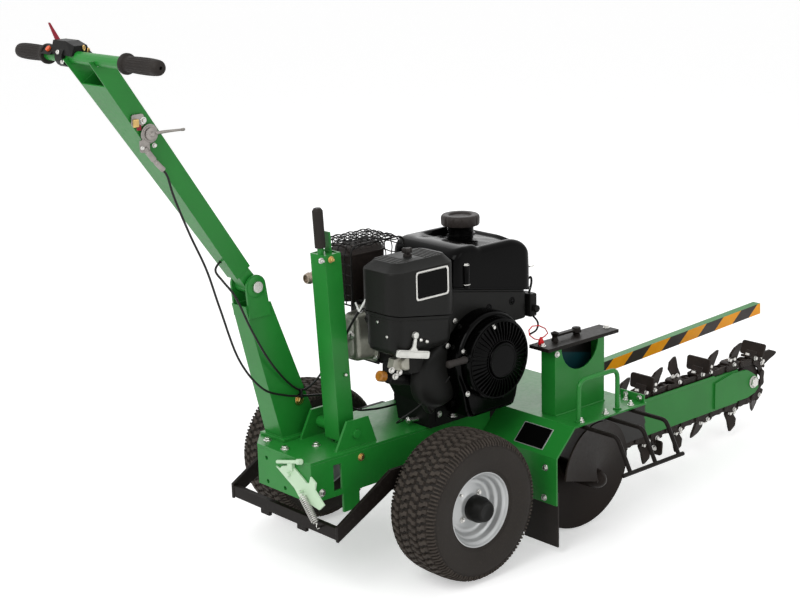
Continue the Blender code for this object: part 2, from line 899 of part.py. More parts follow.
def deck():
    """The deck plate, with the slot for the post lever's tongue and the two brackets that hold it."""
    outline = (
        (DECK_REAR_X, DECK_NEAR_Y),
        (DECK_FRONT_X - FIT, DECK_NEAR_Y),
        (DECK_FRONT_X - FIT, DECK_FAR_Y),
        (FLANGE_FRONT_X + 0.040, DECK_FAR_Y),
        (FLANGE_FRONT_X + 0.010, COLUMN_SHELF_Y),
        (FLANGE_REAR_X, COLUMN_SHELF_Y),
        (DECK_REAR_X, 0.088),
    )
    plate = prism(outline, "Z", DECK_TOP - PLATE, DECK_TOP)
    middle = (POST_NEAR_Y + POST_FAR_Y) / 2
    slot_y = (middle - SLOT_WIDTH / 2, middle + SLOT_WIDTH / 2)
    slot = block((POST_X - 0.016, POST_X + 0.064), slot_y, (DECK_TOP - 0.02, DECK_TOP + 0.02))
    cuts = [slot]
    pieces = [plate]
    for start in (BRACKET_NEAR_Y - BRACKET_PLATE, BRACKET_FAR_Y):
        bracket = (
            (BRACKET_FOOT[0], DECK_TOP - PLATE / 2),
            (BRACKET_FOOT[0], DECK_TOP),
            (BRACKET_TOP[0], DECK_TOP + BRACKET_HEIGHT),
            (BRACKET_TOP[1], DECK_TOP + BRACKET_HEIGHT),
            (BRACKET_FOOT[1], DECK_TOP),
            (BRACKET_FOOT[1], DECK_TOP - PLATE / 2),
        )
        end = start + BRACKET_PLATE
        pieces.append(prism(bracket, "Y", start, end))
        cuts.append(rod((POST_X, start - 0.01, POST_Z), (POST_X, end + 0.01, POST_Z), POST_PIN + FIT))
    node(fused(pieces, cuts), "deck_plate", GREEN)


def chassis():
    """The folded box under the deck, with its leg, bearing plate and cross tube."""
    top = DECK_TOP - PLATE - FIT
    near = (DECK_NEAR_Y, DECK_NEAR_Y + PLATE)
    far = (DECK_FAR_Y - PLATE, DECK_FAR_Y)
    rear_x = (DECK_REAR_X, DECK_REAR_X + PLATE)
    wing_low = DECK_TOP - WING_PLATE - FIT
    head_front = HEAD_X + 0.060
    far_outline = (
        (FLANGE_REAR_X, BOX_LOW),
        (BOX_FRONT_X + 0.045, BOX_LOW),
        (HEAD_X - 0.055, BEARING_LOW),
        (head_front, BEARING_LOW),
        (head_front, wing_low),
        (DECK_FRONT_X + LOOSE, wing_low),
        (DECK_FRONT_X + LOOSE, top),
        (FLANGE_REAR_X, top),
    )
    mount_end = BOOM_REAR_X + MOUNT_LENGTH
    bearing_outline = (
        (BOX_FRONT_X - PLATE / 2, BOX_LOW),
        (BOX_FRONT_X + 0.045, BOX_LOW),
        (HEAD_X - 0.055, BEARING_LOW),
        (mount_end, BEARING_LOW),
        (mount_end, HEAD_Z + 0.032),
        (WING_FRONT_X - 0.010, HEAD_Z + 0.045),
        (WING_FRONT_X - 0.020, wing_low),
        (DECK_FRONT_X + LOOSE, wing_low),
        (DECK_FRONT_X + LOOSE, top),
        (BOX_FRONT_X - PLATE / 2, top),
    )
    corner = (
        (DECK_REAR_X, 0.087),
        (FLANGE_REAR_X + 0.002, DECK_FAR_Y),
        (FLANGE_REAR_X + 0.002, DECK_FAR_Y - PLATE),
        (DECK_REAR_X + PLATE, 0.080),
    )
    pieces = [
        block(rear_x, (DECK_NEAR_Y, 0.0875), (BOX_LOW, top)),
        block((DECK_REAR_X, BOX_FRONT_X), near, (BOX_LOW, top)),
        prism(far_outline, "Y", *far),
        prism(bearing_outline, "Y", BEARING_Y - PLATE / 2, BEARING_Y + PLATE / 2),
        prism(corner, "Z", BOX_LOW, top),
        block((BOX_FRONT_X - PLATE, BOX_FRONT_X), (DECK_NEAR_Y, DECK_FAR_Y), (BOX_LOW, top)),
        block((LEG_X - LEG_WIDTH / 2, LEG_X + LEG_WIDTH / 2), near, (LEG_LOW, BOX_LOW + 0.02)),
        rod((TILT_X, -CARRIAGE_Y - 0.006, TILT_Z), (TILT_X, CARRIAGE_Y + 0.006, TILT_Z), TILT_RADIUS),
    ]
    through = 0.02
    leg_left = LEG_X - LEG_WIDTH / 2
    slot_z = (BOX_LOW + 0.012, top - 0.014)
    cuts = [block((leg_left - 0.026, leg_left - 0.003), (near[0] - through, near[1] + through), slot_z)]
    for y, z in ((0.056, 0.264), (0.054, 0.210), (-0.007, 0.210)):
        cuts.append(rod((rear_x[0] - through, y, z), (rear_x[1] + through, y, z), BOX_HOLE, 10))
    for y in (BEARING_Y, DECK_FAR_Y - PLATE / 2):
        cuts.append(rod((HEAD_X, y - through, HEAD_Z), (HEAD_X, y + through, HEAD_Z), HEAD_RADIUS + FIT, FINE))
    latch_ends = [(x, LATCH_Y, LATCH_Z) for x in (rear_x[0] - through, rear_x[1] + through)]
    cuts.append(rod(*latch_ends, LATCH_PIN + FIT))
    node(fused(pieces, cuts), "chassis_box", GREEN)


def wing():
    """The bent sheet ahead of the deck, with the hazard bar's bracket."""
    low = DECK_TOP - WING_PLATE
    slant = WING_PLATE * 0.414
    drop_top = DECK_TOP - (DECK_FRONT_X - WING_DROP_X)
    outline = (
        (WING_DROP_X, WING_DROP_LOW),
        (WING_DROP_X, drop_top),
        (DECK_FRONT_X, DECK_TOP),
        (WING_FRONT_X, DECK_TOP),
        (WING_FRONT_X, low),
        (DECK_FRONT_X + slant, low),
        (WING_DROP_X + WING_PLATE, drop_top - slant),
        (WING_DROP_X + WING_PLATE, WING_DROP_LOW),
    )
    side = DECK_NEAR_Y - FIT
    lug_z = (HAZARD_PIVOT_Z - 0.012, low + 0.001)
    lug_y = (HAZARD_Y + HAZARD_PLATE + FIT, HAZARD_Y + HAZARD_PLATE + FIT + PLATE)
    pieces = [
        prism(outline, "Y", WING_NEAR_Y, side),
        block((DECK_FRONT_X, WING_FRONT_X), (side - 0.01, DECK_FAR_Y), (low, DECK_TOP)),
        block((WING_FRONT_X - 0.030, WING_FRONT_X), lug_y, lug_z),
        block((WING_FRONT_X - 0.010, HAZARD_PIVOT_X + 0.012), lug_y, (lug_z[0], HAZARD_PIVOT_Z + 0.014)),
    ]
    hole = (HAZARD_PIVOT_X, HAZARD_PIVOT_Z)
    cuts = [rod((hole[0], lug_y[0] - 0.01, hole[1]), (hole[0], lug_y[1] + 0.01, hole[1]), HAZARD_PIN + FIT)]
    node(fused(pieces, cuts), "wing_plate", GREEN)

    flap_x = WING_DROP_X + WING_PLATE + FIT
    flap_y = (WING_NEAR_Y, WING_NEAR_Y + FLAP_WIDTH)
    flap = block((flap_x, flap_x + 0.004), flap_y, (FLAP_LOW, WING_DROP_LOW + FLAP_LAP))
    node(flap, "mud_flap", RUBBER)


def tower():
    """The narrow tower on the wing, its top plate with the strap latch, and the red lanyard."""
    low = DECK_TOP + FIT
    top = DECK_TOP + TOWER_HEIGHT
    wall = TOWER_WALL
    x = (TOWER_REAR_X, TOWER_FRONT_X)
    y = (TOWER_NEAR_Y, TOWER_FAR_Y)
    inside = block((x[0] + wall, x[1] - wall), (y[0] + wall, y[1] - wall), (low - 0.01, top + 0.01))
    middle = (x[0] + x[1]) / 2
    notch = rod((middle, y[0] - 0.01, top), (middle, y[0] + 0.01, top), TOWER_CUT_RADIUS, WHEEL_ROUND)
    node(fused([block(x, y, (low, top))], [inside, notch]), "tower_cover", GREEN)

    plate_low = top + FIT
    plate_top = plate_low + TOP_PLATE
    plate_y = (y[0] - TOP_OVERHANG, y[1] + TOP_OVERHANG)
    strap_y = STRAP_Y
    half = STRAP_WIDTH / 2
    strap_z = (plate_top + STRAP_RISE, plate_top + STRAP_RISE + STRAP_PLATE)
    up = (0, 0, 1)
    seat = plate_top - 0.001
    post = ((0, 0), (0.009, 0), (half, STRAP_RISE), (0.010, STRAP_RISE + 0.010), (0, STRAP_RISE + 0.0145))
    knob = ((0, 0), (0.008, 0), (0.008, 0.004), (0.012, 0.007), (0.010, 0.0175), (0, 0.0195))
    strap = [
        block((TOP_REAR_X, TOP_FRONT_X), plate_y, (plate_low, plate_top)),
        turned(post, (STRAP_REAR_X, strap_y, seat), up, 12),
        turned(knob, (STRAP_FRONT_X, strap_y, seat), up, 12),
        block((STRAP_REAR_X, STRAP_FRONT_X), (strap_y - half, strap_y + half), strap_z),
    ]
    node(fused(strap), "tower_top_plate", BLACK_PAINT)

    cone = ((0, 0), (0.007, 0), (0.007, 0.006), (0.003, 0.016), (0, 0.018))
    ring = [(LANYARD_X + x, strap_y, plate_top + z) for x, z in LANYARD_LOOP]
    lanyard = [
        turned(cone, (LANYARD_X, strap_y, plate_top + FIT), up, 12),
        swept(ring, LANYARD_WIRE, 6),
    ]
    node(fused(lanyard), "lanyard", RED)


def grab_handle():
    low = DECK_TOP + FIT
    corners = (
        (GRAB_REAR_X, GRAB_Y, low),
        (GRAB_REAR_X, GRAB_Y, low + GRAB_HEIGHT),
        (GRAB_FRONT_X, GRAB_Y, low + GRAB_HEIGHT),
        (GRAB_FRONT_X, GRAB_Y, low),
    )
    pieces = [swept(bent(corners, GRAB_BEND), GRAB_RADIUS, 10)]
    for x in (GRAB_REAR_X, GRAB_FRONT_X):
        pieces.append(turned(((0, 0), (0.010, 0), (0.010, 0.003), (0, 0.003)), (x, GRAB_Y, low), (0, 0, 1), 10))
    node(fused(pieces), "grab_handle", GREEN)


def guard_bars():
    """Three legs under the wing, out over the auger and down to a rail."""
    z = DECK_TOP - WING_PLATE - FIT - GUARD_ROD
    bend_y = WING_NEAR_Y - GUARD_REACH
    end_y = bend_y - GUARD_OUT * 0.7
    end_z = z - GUARD_DROP
    pieces = []
    for x in GUARD_STATIONS:
        corners = ((x, GUARD_ROOT_Y, z), (x, bend_y, z), (x, end_y, end_z))
        pieces.append(swept(bent(corners, 0.012, 3), GUARD_ROD))
    first, last = GUARD_STATIONS[0] - 0.025, GUARD_STATIONS[-1] + 0.015
    pieces.append(swept(((first, end_y, end_z), (last, end_y, end_z)), GUARD_ROD))
    node(fused(pieces), "guard_bars", BLACK_PAINT)


def column_corners(rear, front, near, far, z, inset=0.0):
    """Four corners of a level rectangle, drawn in by an inset."""
    xs = (rear + inset, front - inset)
    ys = (near + inset, far - inset)
    return [(x, y, z) for x in xs for y in ys]


def lower_column():
    """The tapered column on its bolted foot, with two ears for the fold pin."""
    low = DECK_TOP + FIT
    foot = (FOOT_REAR_X, FOOT_FRONT_X, FOOT_NEAR_Y, FOOT_FAR_Y)
    head = (COLUMN_TOP_REAR_X, COLUMN_TOP_FRONT_X, COLUMN_TOP_NEAR_Y, COLUMN_TOP_FAR_Y)
    outer = hull(column_corners(*foot, low + 0.001) + column_corners(*head, COLUMN_TOP_Z))
    drift = Vector(((head[0] + head[1] - foot[0] - foot[1]) / 2, 0, COLUMN_TOP_Z - low)).normalized() * 0.01
    top_inside = [tuple(Vector(p) + drift) for p in column_corners(*head, COLUMN_TOP_Z, COLUMN_WALL)]
    inner = hull(column_corners(*foot, low + 0.012, COLUMN_WALL) + top_inside)
    pieces = [outer, block((FLANGE_REAR_X, FLANGE_FRONT_X), (FLANGE_NEAR_Y, FLANGE_FAR_Y), (low, low + PLATE))]
    column = fused(pieces, [inner])
    ears = []
    root_z = COLUMN_TOP_Z - 0.028
    outline = circle(FOLD_X, FOLD_Z, EAR_RADIUS)
    outline += [(COLUMN_TOP_REAR_X + 0.008, root_z), (COLUMN_TOP_FRONT_X - 0.004, root_z)]
    for low_y in (EAR_INSIDE_NEAR - EAR_PLATE, EAR_INSIDE_FAR):
        ears.append(hull_plate(outline, "Y", low_y, low_y + EAR_PLATE))
    hole = rod((FOLD_X, 0.0, FOLD_Z), (FOLD_X, 0.2, FOLD_Z), FOLD_PIN + FIT)
    node(fused([column] + ears, [hole]), "lower_column", GREEN)

    head_y = EAR_INSIDE_NEAR - EAR_PLATE - FIT
    end_y = EAR_INSIDE_FAR + EAR_PLATE + 0.010
    profile = (
        (0, -0.008),
        (PIN_HEAD, -0.008),
        (PIN_HEAD, 0),
        (FOLD_PIN, 0),
        (FOLD_PIN, end_y - head_y),
        (0, end_y - head_y),
    )
    node(turned(profile, (FOLD_X, head_y, FOLD_Z), (0, 1, 0)), "hinge_pin", STEEL)


def handle_block(start, end, depths, inset):
    """A tapered stretch of the handle column, with its sides drawn in by an inset."""
    points = []
    for along in (start, end):
        near, far = handle_sides(along)
        for depth in depths:
            x, z = on_handle(along, depth)
            points += [(x, near + inset, z), (x, far - inset, z)]
    return hull(points)


def handle():
    """The folding upper column, the bar and its two grips."""
    pivot = (FOLD_X, (EAR_INSIDE_NEAR + EAR_INSIDE_FAR) / 2, FOLD_Z)
    wall = HANDLE_WALL
    over = 0.02
    barrel = rod((FOLD_X, EAR_INSIDE_NEAR + FIT, FOLD_Z), (FOLD_X, EAR_INSIDE_FAR - FIT, FOLD_Z), NECK_RADIUS)
    neck_outline = circle(FOLD_X, FOLD_Z, NECK_RADIUS - 0.001)
    neck_outline += [on_handle(0.012, 0.006), on_handle(0.012, HANDLE_DEPTH - 0.006)]
    neck = hull_plate(neck_outline, "Y", HANDLE_LOW_NEAR_Y + 0.002, HANDLE_LOW_FAR_Y - 0.002)
    outer = handle_block(0, HANDLE_LENGTH, (0, HANDLE_DEPTH), 0)
    inner = handle_block(2 * wall + 0.008, HANDLE_LENGTH + over, (wall, HANDLE_DEPTH - wall), wall)
    notch = handle_block(HANDLE_CLOSED, HANDLE_LENGTH + over, (-over, HANDLE_DEPTH + over), 0.9 * wall)
    bar_x, bar_z = BAR_X, BAR_Z
    bar_hole = rod((bar_x, 0, bar_z), (bar_x, 0.2, bar_z), BAR_RADIUS + FIT)
    pin_hole = rod((FOLD_X, 0, FOLD_Z), (FOLD_X, 0.2, FOLD_Z), FOLD_PIN + FIT)
    hole_y = sum(handle_sides(STOP_CABLE_ALONG)) / 2
    out_x, out_z = on_handle(STOP_CABLE_ALONG, -over)
    in_x, in_z = on_handle(STOP_CABLE_ALONG, over)
    cable_hole = rod((out_x, hole_y, out_z), (in_x, hole_y, in_z), STOP_CABLE_HOLE, 12)
    trim = block((bar_x - 0.1, bar_x + 0.1), (0, 0.2), (bar_z - 0.0015, bar_z + 0.1))
    shell = fused([outer], [inner, notch])
    column = fused([fused([shell], [trim]), neck, barrel], [bar_hole, pin_hole, cable_hole])
    node(column, "upper_column", GREEN, pivot)

    reach = GRIP_START + GRIP_LENGTH - 0.0042
    ends = [(bar_x, BAR_MIDDLE_Y + side * reach, bar_z) for side in (-1, 1)]
    node(pipe(*ends, BAR_RADIUS - BAR_WALL, BAR_RADIUS), "handlebar", GREEN, (bar_x, BAR_MIDDLE_Y, bar_z))

    bore = BAR_RADIUS + FIT
    length = GRIP_LENGTH
    profile = (
        (bore, 0),
        (GRIP_FLANGE, 0),
        (GRIP_FLANGE, 0.008),
        (GRIP_RADIUS - 0.0015, 0.012),
        (GRIP_RADIUS - 0.002, 0.030),
        (GRIP_RADIUS, length - 0.045),
        (GRIP_RADIUS, length - 0.018),
        (GRIP_RADIUS - 0.003, length - 0.003),
        (GRIP_RADIUS - 0.006, length),
        (0.003, length),
        (0.003, length - 0.004),
        (bore, length - 0.004),
    )
    for side, label in ((-1, "near"), (1, "far")):
        start = (bar_x, BAR_MIDDLE_Y + side * GRIP_START, bar_z)
        node(turned(profile, start, (0, side, 0)), f"grip_{label}", RUBBER, start)


def controls():
    """The control housing on the bar with its red lever and button."""
    bar_x, bar_z = BAR_X, BAR_Z
    pod_low = bar_z + 0.004
    pod_top = bar_z + POD_TOP
    pod_points = []
    for y, trim in ((POD_NEAR_Y, 0.008), (POD_NEAR_Y + 0.03, 0.0), (POD_FAR_Y, 0.0)):
        pod_points += [(bar_x - POD_REAR, y, pod_low), (bar_x + POD_FRONT, y, pod_low)]
        pod_points += [(bar_x - POD_REAR + 0.008, y, pod_top - trim)]
        pod_points += [(bar_x + POD_FRONT - 0.006, y, pod_top - trim)]
    press = Vector(BUTTON_WAY).normalized()

    def on_face(z):
        return (bar_x + (SWITCH_FACE - press.z * z) / press.x, bar_z + z)

    switch = (
        (bar_x + SWITCH_FRONT, bar_z + SWITCH_LOW),
        (bar_x + SWITCH_FRONT, bar_z + SWITCH_TOP),
        on_face(SWITCH_TOP),
        on_face(SWITCH_LOW),
    )
    pieces = [
        rod((bar_x, CLAMP_NEAR_Y, bar_z), (bar_x, CLAMP_FAR_Y, bar_z), CLAMP_RADIUS),
        hull(pod_points),
        prism(switch, "Y", POD_FAR_Y - 0.004, SWITCH_FAR_Y),
    ]
    centre = Vector((bar_x, BUTTON_Y, bar_z))
    seat = BAR_RADIUS + 0.0013
    pocket = rod(centre + press * seat, centre + press * 0.03, BUTTON_RADIUS + FIT, 16)
    bar_hole = rod((bar_x, 0.05, bar_z), (bar_x, 0.30, bar_z), BAR_RADIUS + FIT)
    node(fused(pieces, [bar_hole, pocket]), "control_housing", BLACK_PLASTIC)

    start = seat + BUTTON_TRAVEL + FIT
    button = rod(centre + press * start, centre + press * (SWITCH_FACE + 0.004), BUTTON_RADIUS, 16)
    node(button, "stop_button", ORANGE, tuple(centre + press * start))

    hub_y = POD_FAR_Y + FIT
    blade = [(STOP_X + x, hub_y + y, STOP_Z) for x in (-0.006, 0.006) for y in (0, 0.004)]
    tip_y = hub_y + STOP_SPREAD
    tip_z = STOP_Z + STOP_HEIGHT
    blade += [(STOP_X - 0.006 + x, tip_y + y, tip_z) for x in (-0.002, 0.002) for y in (0, 0.002)]
    hub = rod((STOP_X, hub_y, STOP_Z), (STOP_X, hub_y + 0.005, STOP_Z), STOP_HUB, 16)
    node(fused([hub, hull(blade)]), "stop_lever", RED, (STOP_X, hub_y, STOP_Z))


def throttle():
    """The throttle's plate on the handle with its cable adjuster, and its lever."""
    front_y = THROTTLE_BACK_Y - THROTTLE_PLATE
    outline = circle(THROTTLE_X, THROTTLE_Z, THROTTLE_DISC)
    outline += circle(THROTTLE_X - 0.030, THROTTLE_Z + 0.032, 0.010, 12)
    outline += circle(THROTTLE_X - 0.013, THROTTLE_Z - 0.026, 0.007, 12)
    adjuster_top = (THROTTLE_X - 0.015, THROTTLE_BACK_Y - 0.005, THROTTLE_Z - 0.028)
    seat = []
    for x, z in circle(THROTTLE_X, THROTTLE_Z, THROTTLE_SEAT, 12):
        seat += [(x, THROTTLE_BACK_Y - 0.001, z), (x, handle_near(x, z) - FIT, z)]
    base = [
        hull_plate(outline, "Y", front_y, THROTTLE_BACK_Y),
        hull(seat),
        rod(adjuster_top, CABLE_START, ADJUSTER_RADIUS, 12),
    ]
    node(fused(base), "throttle_base", STEEL)

    hub_y = front_y - FIT
    end_x = THROTTLE_X + THROTTLE_ARM
    arm_outline = circle(THROTTLE_X, THROTTLE_Z, THROTTLE_HUB * 0.6, 12) + circle(end_x, THROTTLE_Z, 0.0035, 8)
    arm = hull_plate(arm_outline, "Y", hub_y - 0.0065, hub_y - 0.003)
    hub = rod((THROTTLE_X, hub_y - 0.008, THROTTLE_Z), (THROTTLE_X, hub_y, THROTTLE_Z), THROTTLE_HUB)
    tip = rod((end_x, hub_y - 0.009, THROTTLE_Z), (end_x, hub_y - 0.001, THROTTLE_Z), 0.0045, 12)
    node(fused([hub, arm, tip]), "throttle_lever", STEEL, (THROTTLE_X, hub_y, THROTTLE_Z))


def cables():
    """The throttle cable and the stop cable, held along the machine."""
    spacing = CABLE_SPACING
    round_curve("throttle_cable", smooth(THROTTLE_ROUTE, spacing), CABLE_RADIUS, RUBBER, 2)
    round_curve("stop_cable", smooth(STOP_ROUTE, spacing), CABLE_RADIUS, RUBBER, 2)


def post_lever():
    """The leaning post between its two brackets, its pin, grip and release tab."""
    pivot = (POST_X, (POST_NEAR_Y + POST_FAR_Y) / 2, POST_Z)
    middle = pivot[1]
    half = POST_DEPTH / 2
    y = (POST_NEAR_Y, POST_FAR_Y)
    low, high = POST_Z - POST_BELOW, POST_Z + POST_HEIGHT
    outer = block((POST_X - half, POST_X + half), y, (low, high))
    inside_x = (POST_X - half + POST_WALL, POST_X + half - POST_WALL)
    inside = block(inside_x, (y[0] + POST_WALL, y[1] - POST_WALL), (low - 0.01, high + 0.01))
    tongue_y = (middle - TONGUE_WIDTH / 2, middle + TONGUE_WIDTH / 2)
    tongue = [
        block((POST_X - 0.010, POST_X + 0.010), tongue_y, (POST_Z - TONGUE_DOWN, POST_Z + 0.040)),
        block((POST_X - 0.010, POST_X + 0.010), (y[0] + 0.001, y[1] - 0.001), (POST_Z + 0.022, POST_Z + 0.040)),
    ]
    plug = block((POST_X - half + 0.001, POST_X + 0.014), (y[0] + 0.001, y[1] - 0.001), (high - 0.012, high - 0.002))
    grip_x = POST_X - POST_GRIP_BACK
    grip_low = high + POST_GRIP_UP
    stem = rod((grip_x, middle, high - 0.006), (grip_x, middle, grip_low + POST_GRIP_LENGTH - 0.007), GRIP_ROD, 16)
    hole = rod((POST_X, y[0] - 0.02, POST_Z), (POST_X, y[1] + 0.02, POST_Z), POST_PIN + FIT)
    tube_shell = fused([outer], [inside])
    post = fused([tube_shell, *tongue, plug, stem], [hole])
    node(leaned(post, pivot, -POST_LEAN), "lever_post", GREEN, pivot)

    bore = GRIP_ROD + FIT
    radius = POST_GRIP_RADIUS
    profile = (
        (bore, 0),
        (radius, 0),
        (radius, POST_GRIP_LENGTH - 0.006),
        (radius - 0.004, POST_GRIP_LENGTH),
        (0, POST_GRIP_LENGTH),
        (0, POST_GRIP_LENGTH - 0.0065),
        (bore, POST_GRIP_LENGTH - 0.0065),
    )
    grip = turned(profile, (grip_x, middle, grip_low), (0, 0, 1), 16)
    node(leaned(grip, pivot, -POST_LEAN), "post_grip", RUBBER, pivot)

    tab_x = POST_X + 0.0085
    tab_z = high - 0.002 + FIT
    half_tab = TAB_WIDTH / 2
    foot_x = (tab_x - 0.0025, tab_x + 0.0025)
    foot = block(foot_x, (middle - half_tab + LOOSE, middle + half_tab - LOOSE), (tab_z, tab_z + 0.005))
    blade_x = (tab_x - TAB_PLATE / 2, tab_x + TAB_PLATE / 2)
    blade = block(blade_x, (middle - half_tab, middle + half_tab), (tab_z, tab_z + TAB_HEIGHT))
    tab = leaned(fused([foot, blade]), pivot, -POST_LEAN)
    lean = math.radians(POST_LEAN)
    rise = tab_z - POST_Z
    ahead = tab_x - POST_X
    pivot_x = POST_X + ahead * math.cos(lean) - rise * math.sin(lean)
    pivot_z = POST_Z + rise * math.cos(lean) + ahead * math.sin(lean)
    node(tab, "release_tab", GREEN, (pivot_x, middle, pivot_z))

    base = BRACKET_NEAR_Y - BRACKET_PLATE - FIT
    steps = (
        (0, -0.006, POST_PIN_HEAD),
        (BRACKET_NEAR_Y + FIT - base, 0, POST_PIN),
        (POST_NEAR_Y - FIT - base, BRACKET_NEAR_Y + FIT - base, SPACER_RADIUS),
        (POST_FAR_Y + FIT - base, POST_NEAR_Y - FIT - base, POST_PIN),
        (BRACKET_FAR_Y - FIT - base, POST_FAR_Y + FIT - base, SPACER_RADIUS),
        (BRACKET_FAR_Y + BRACKET_PLATE + 0.008 - base, BRACKET_FAR_Y - FIT - base, POST_PIN),
    )
    profile = [(0, steps[0][1])]
    for end, start, radius in steps:
        profile += [(radius, start), (radius, end)]
    profile.append((0, steps[-1][0]))
    node(turned(profile, (POST_X, base, POST_Z), (0, 1, 0)), "post_pin", STEEL)


def latch():
    """The spring latch on the rear plate: its hooked plate with its pin, and the extension spring."""
    front = DECK_REAR_X - 0.0005
    back = front - LATCH_PLATE
    outline = [(LATCH_Y + y, LATCH_Z + z) for y, z in LATCH_OUTLINE]
    plate = prism(outline, "X", back, front)
    pin_end = DECK_REAR_X + PLATE + 0.004
    pin = rod((back - 0.006, LATCH_Y, LATCH_Z), (pin_end, LATCH_Y, LATCH_Z), LATCH_PIN, 16)
    rod_x = back - 0.004

    def beside_pin(y, z):
        return (rod_x, LATCH_Y + y, LATCH_Z + z)

    handle_rod = rod(beside_pin(0.036, 0.020), beside_pin(-0.040, 0.039), 0.004, 10)
    knob = rod(beside_pin(-0.036, 0.038), beside_pin(-0.048, 0.041), 0.0065, 12)
    lug = block((rod_x - 0.001, front), (LATCH_Y - 0.016, LATCH_Y), (LATCH_Z + 0.012, LATCH_Z + 0.031))
    top = Vector((back - SPRING_OUT, *SPRING_TOP))
    peg = rod((back - SPRING_OUT - 0.003, *SPRING_TOP), (back + 0.001, *SPRING_TOP), SPRING_PEG, 10)
    node(fused([plate, pin, lug, handle_rod, knob, peg]), "latch_plate", PALE_GREEN, (back, LATCH_Y, LATCH_Z))

    low = Vector((CARRIAGE_REAR_X + LOOSE - SPRING_OUT, *SPRING_LOW))
    along = (low - top).normalized()
    start = top + along * (SPRING_PEG + LOOSE)
    end = low - along * (SPRING_PEG + LOOSE)
    length = (end - start).length
    side = Vector((1, 0, 0))
    side = (side - along * side.dot(along)).normalized()
    up = along.cross(side)
    step = 2 * math.pi / SPRING_POINTS
    lead = 0.006
    body = length - 2 * lead
    total = SPRING_CURLS * SPRING_POINTS
    points = [start]
    for i in range(total + 1):
        angle = i * step
        centre = start + along * (lead + body * i / total)
        points.append(centre + SPRING_RADIUS * (math.cos(angle) * up + math.sin(angle) * side))
    points.append(end)
    pitch = body / SPRING_CURLS
    print(f"latch spring: least gap between curls {1000 * (pitch - 2 * SPRING_WIRE):.2f} mm")
    round_curve("latch_spring", points, SPRING_WIRE, STEEL, 1)


def drive():
    """Head shaft with both sprockets, auger, clutch and the guard round the drive."""
    y = BOOM_Y
    half = SPROCKET_WIDTH / 2
    teeth = []
    for i in range(2 * SPROCKET_TEETH):
        radius = SPROCKET_RADIUS + (SPROCKET_TOOTH if i % 2 else 0)
        angle = math.pi * i / SPROCKET_TEETH
        for shift in (-0.08, 0.08):
            teeth.append((HEAD_X + radius * math.cos(angle + shift), HEAD_Z + radius * math.sin(angle + shift)))
    guard_low = DECK_FAR_Y + FIT
    final_y = (guard_low + 0.012, guard_low + 0.020)
    pieces = [
        rod((HEAD_X, HEAD_NEAR_Y, HEAD_Z), (HEAD_X, HEAD_FAR_Y, HEAD_Z), HEAD_RADIUS, FINE - 2),
        prism(teeth, "Y", y - half, y + half),
        rod((HEAD_X, final_y[0], HEAD_Z), (HEAD_X, final_y[1], HEAD_Z), FINAL_RADIUS, WHEEL_ROUND),
    ]
    node(fused(pieces), "head_shaft", STEEL, (HEAD_X, 0, HEAD_Z))

    steps = round(FINE * AUGER_TURNS)
    middle = (AUGER_NEAR_Y + AUGER_FAR_Y) / 2
    root = AUGER_TUBE - 0.004
    rings = []
    bm = bmesh.new()
    for i in range(steps + 1):
        turned_so_far = AUGER_TURNS * i / steps
        angle = math.radians(AUGER_START) - 2 * math.pi * turned_so_far
        flight_y = AUGER_NEAR_Y + AUGER_BLADE + AUGER_PITCH * turned_so_far
        ring = []
        for radius, shift in ((root, -1), (AUGER_RADIUS, -1), (AUGER_RADIUS, 1), (root, 1)):
            level = flight_y + shift * AUGER_BLADE / 2
            ring.append(bm.verts.new((HEAD_X + radius * math.cos(angle), level, HEAD_Z + radius * math.sin(angle))))
        rings.append(ring)
    for first, second in zip(rings, rings[1:]):
        for j in range(4):
            k = (j + 1) % 4
            bm.faces.new((first[j], first[k], second[k], second[j]))
    bm.faces.new(rings[0])
    bm.faces.new(rings[-1])
    flight = piece(bm)
    length = AUGER_FAR_Y - AUGER_NEAR_Y
    profile = ((0, 0), (AUGER_TUBE - 0.008, 0), (AUGER_TUBE, 0.006), (AUGER_TUBE, length), (0, length))
    tube = turned(profile, (HEAD_X, AUGER_NEAR_Y, HEAD_Z), (0, 1, 0), FINE)
    bore_ends = [(HEAD_X, y, HEAD_Z) for y in (HEAD_NEAR_Y - FIT, AUGER_FAR_Y + 0.01)]
    bore = rod(*bore_ends, HEAD_RADIUS + FIT, FINE - 2)
    node(fused([flight, tube], [bore]), "auger", BLACK_PAINT, (HEAD_X, middle, HEAD_Z))

    clutch = [
        rod((CRANK_X, ENGINE_FAR_Y + FIT, CRANK_Z), (CRANK_X, HEAD_FAR_Y, CRANK_Z), 0.012),
        rod((CRANK_X, final_y[0] - 0.004, CRANK_Z), (CRANK_X, final_y[1] + 0.012, CRANK_Z), CLUTCH_RADIUS),
    ]
    node(fused(clutch), "clutch_drum", STEEL, (CRANK_X, final_y[0], CRANK_Z))

    wide, narrow = FINAL_RADIUS + GUARD_ROOM, CLUTCH_RADIUS + GUARD_ROOM
    wall = GUARD_WALL
    outer = circle(HEAD_X, HEAD_Z, wide + wall, FINE) + circle(CRANK_X, CRANK_Z, narrow + wall, FINE)
    inner = circle(HEAD_X, HEAD_Z, wide, FINE) + circle(CRANK_X, CRANK_Z, narrow, FINE)
    shell = hull_plate(outer, "Y", guard_low, GUARD_FAR_Y)
    room = hull_plate(inner, "Y", guard_low - 0.01, GUARD_FAR_Y - wall)
    node(fused([shell], [room]), "drive_guard", GREEN)


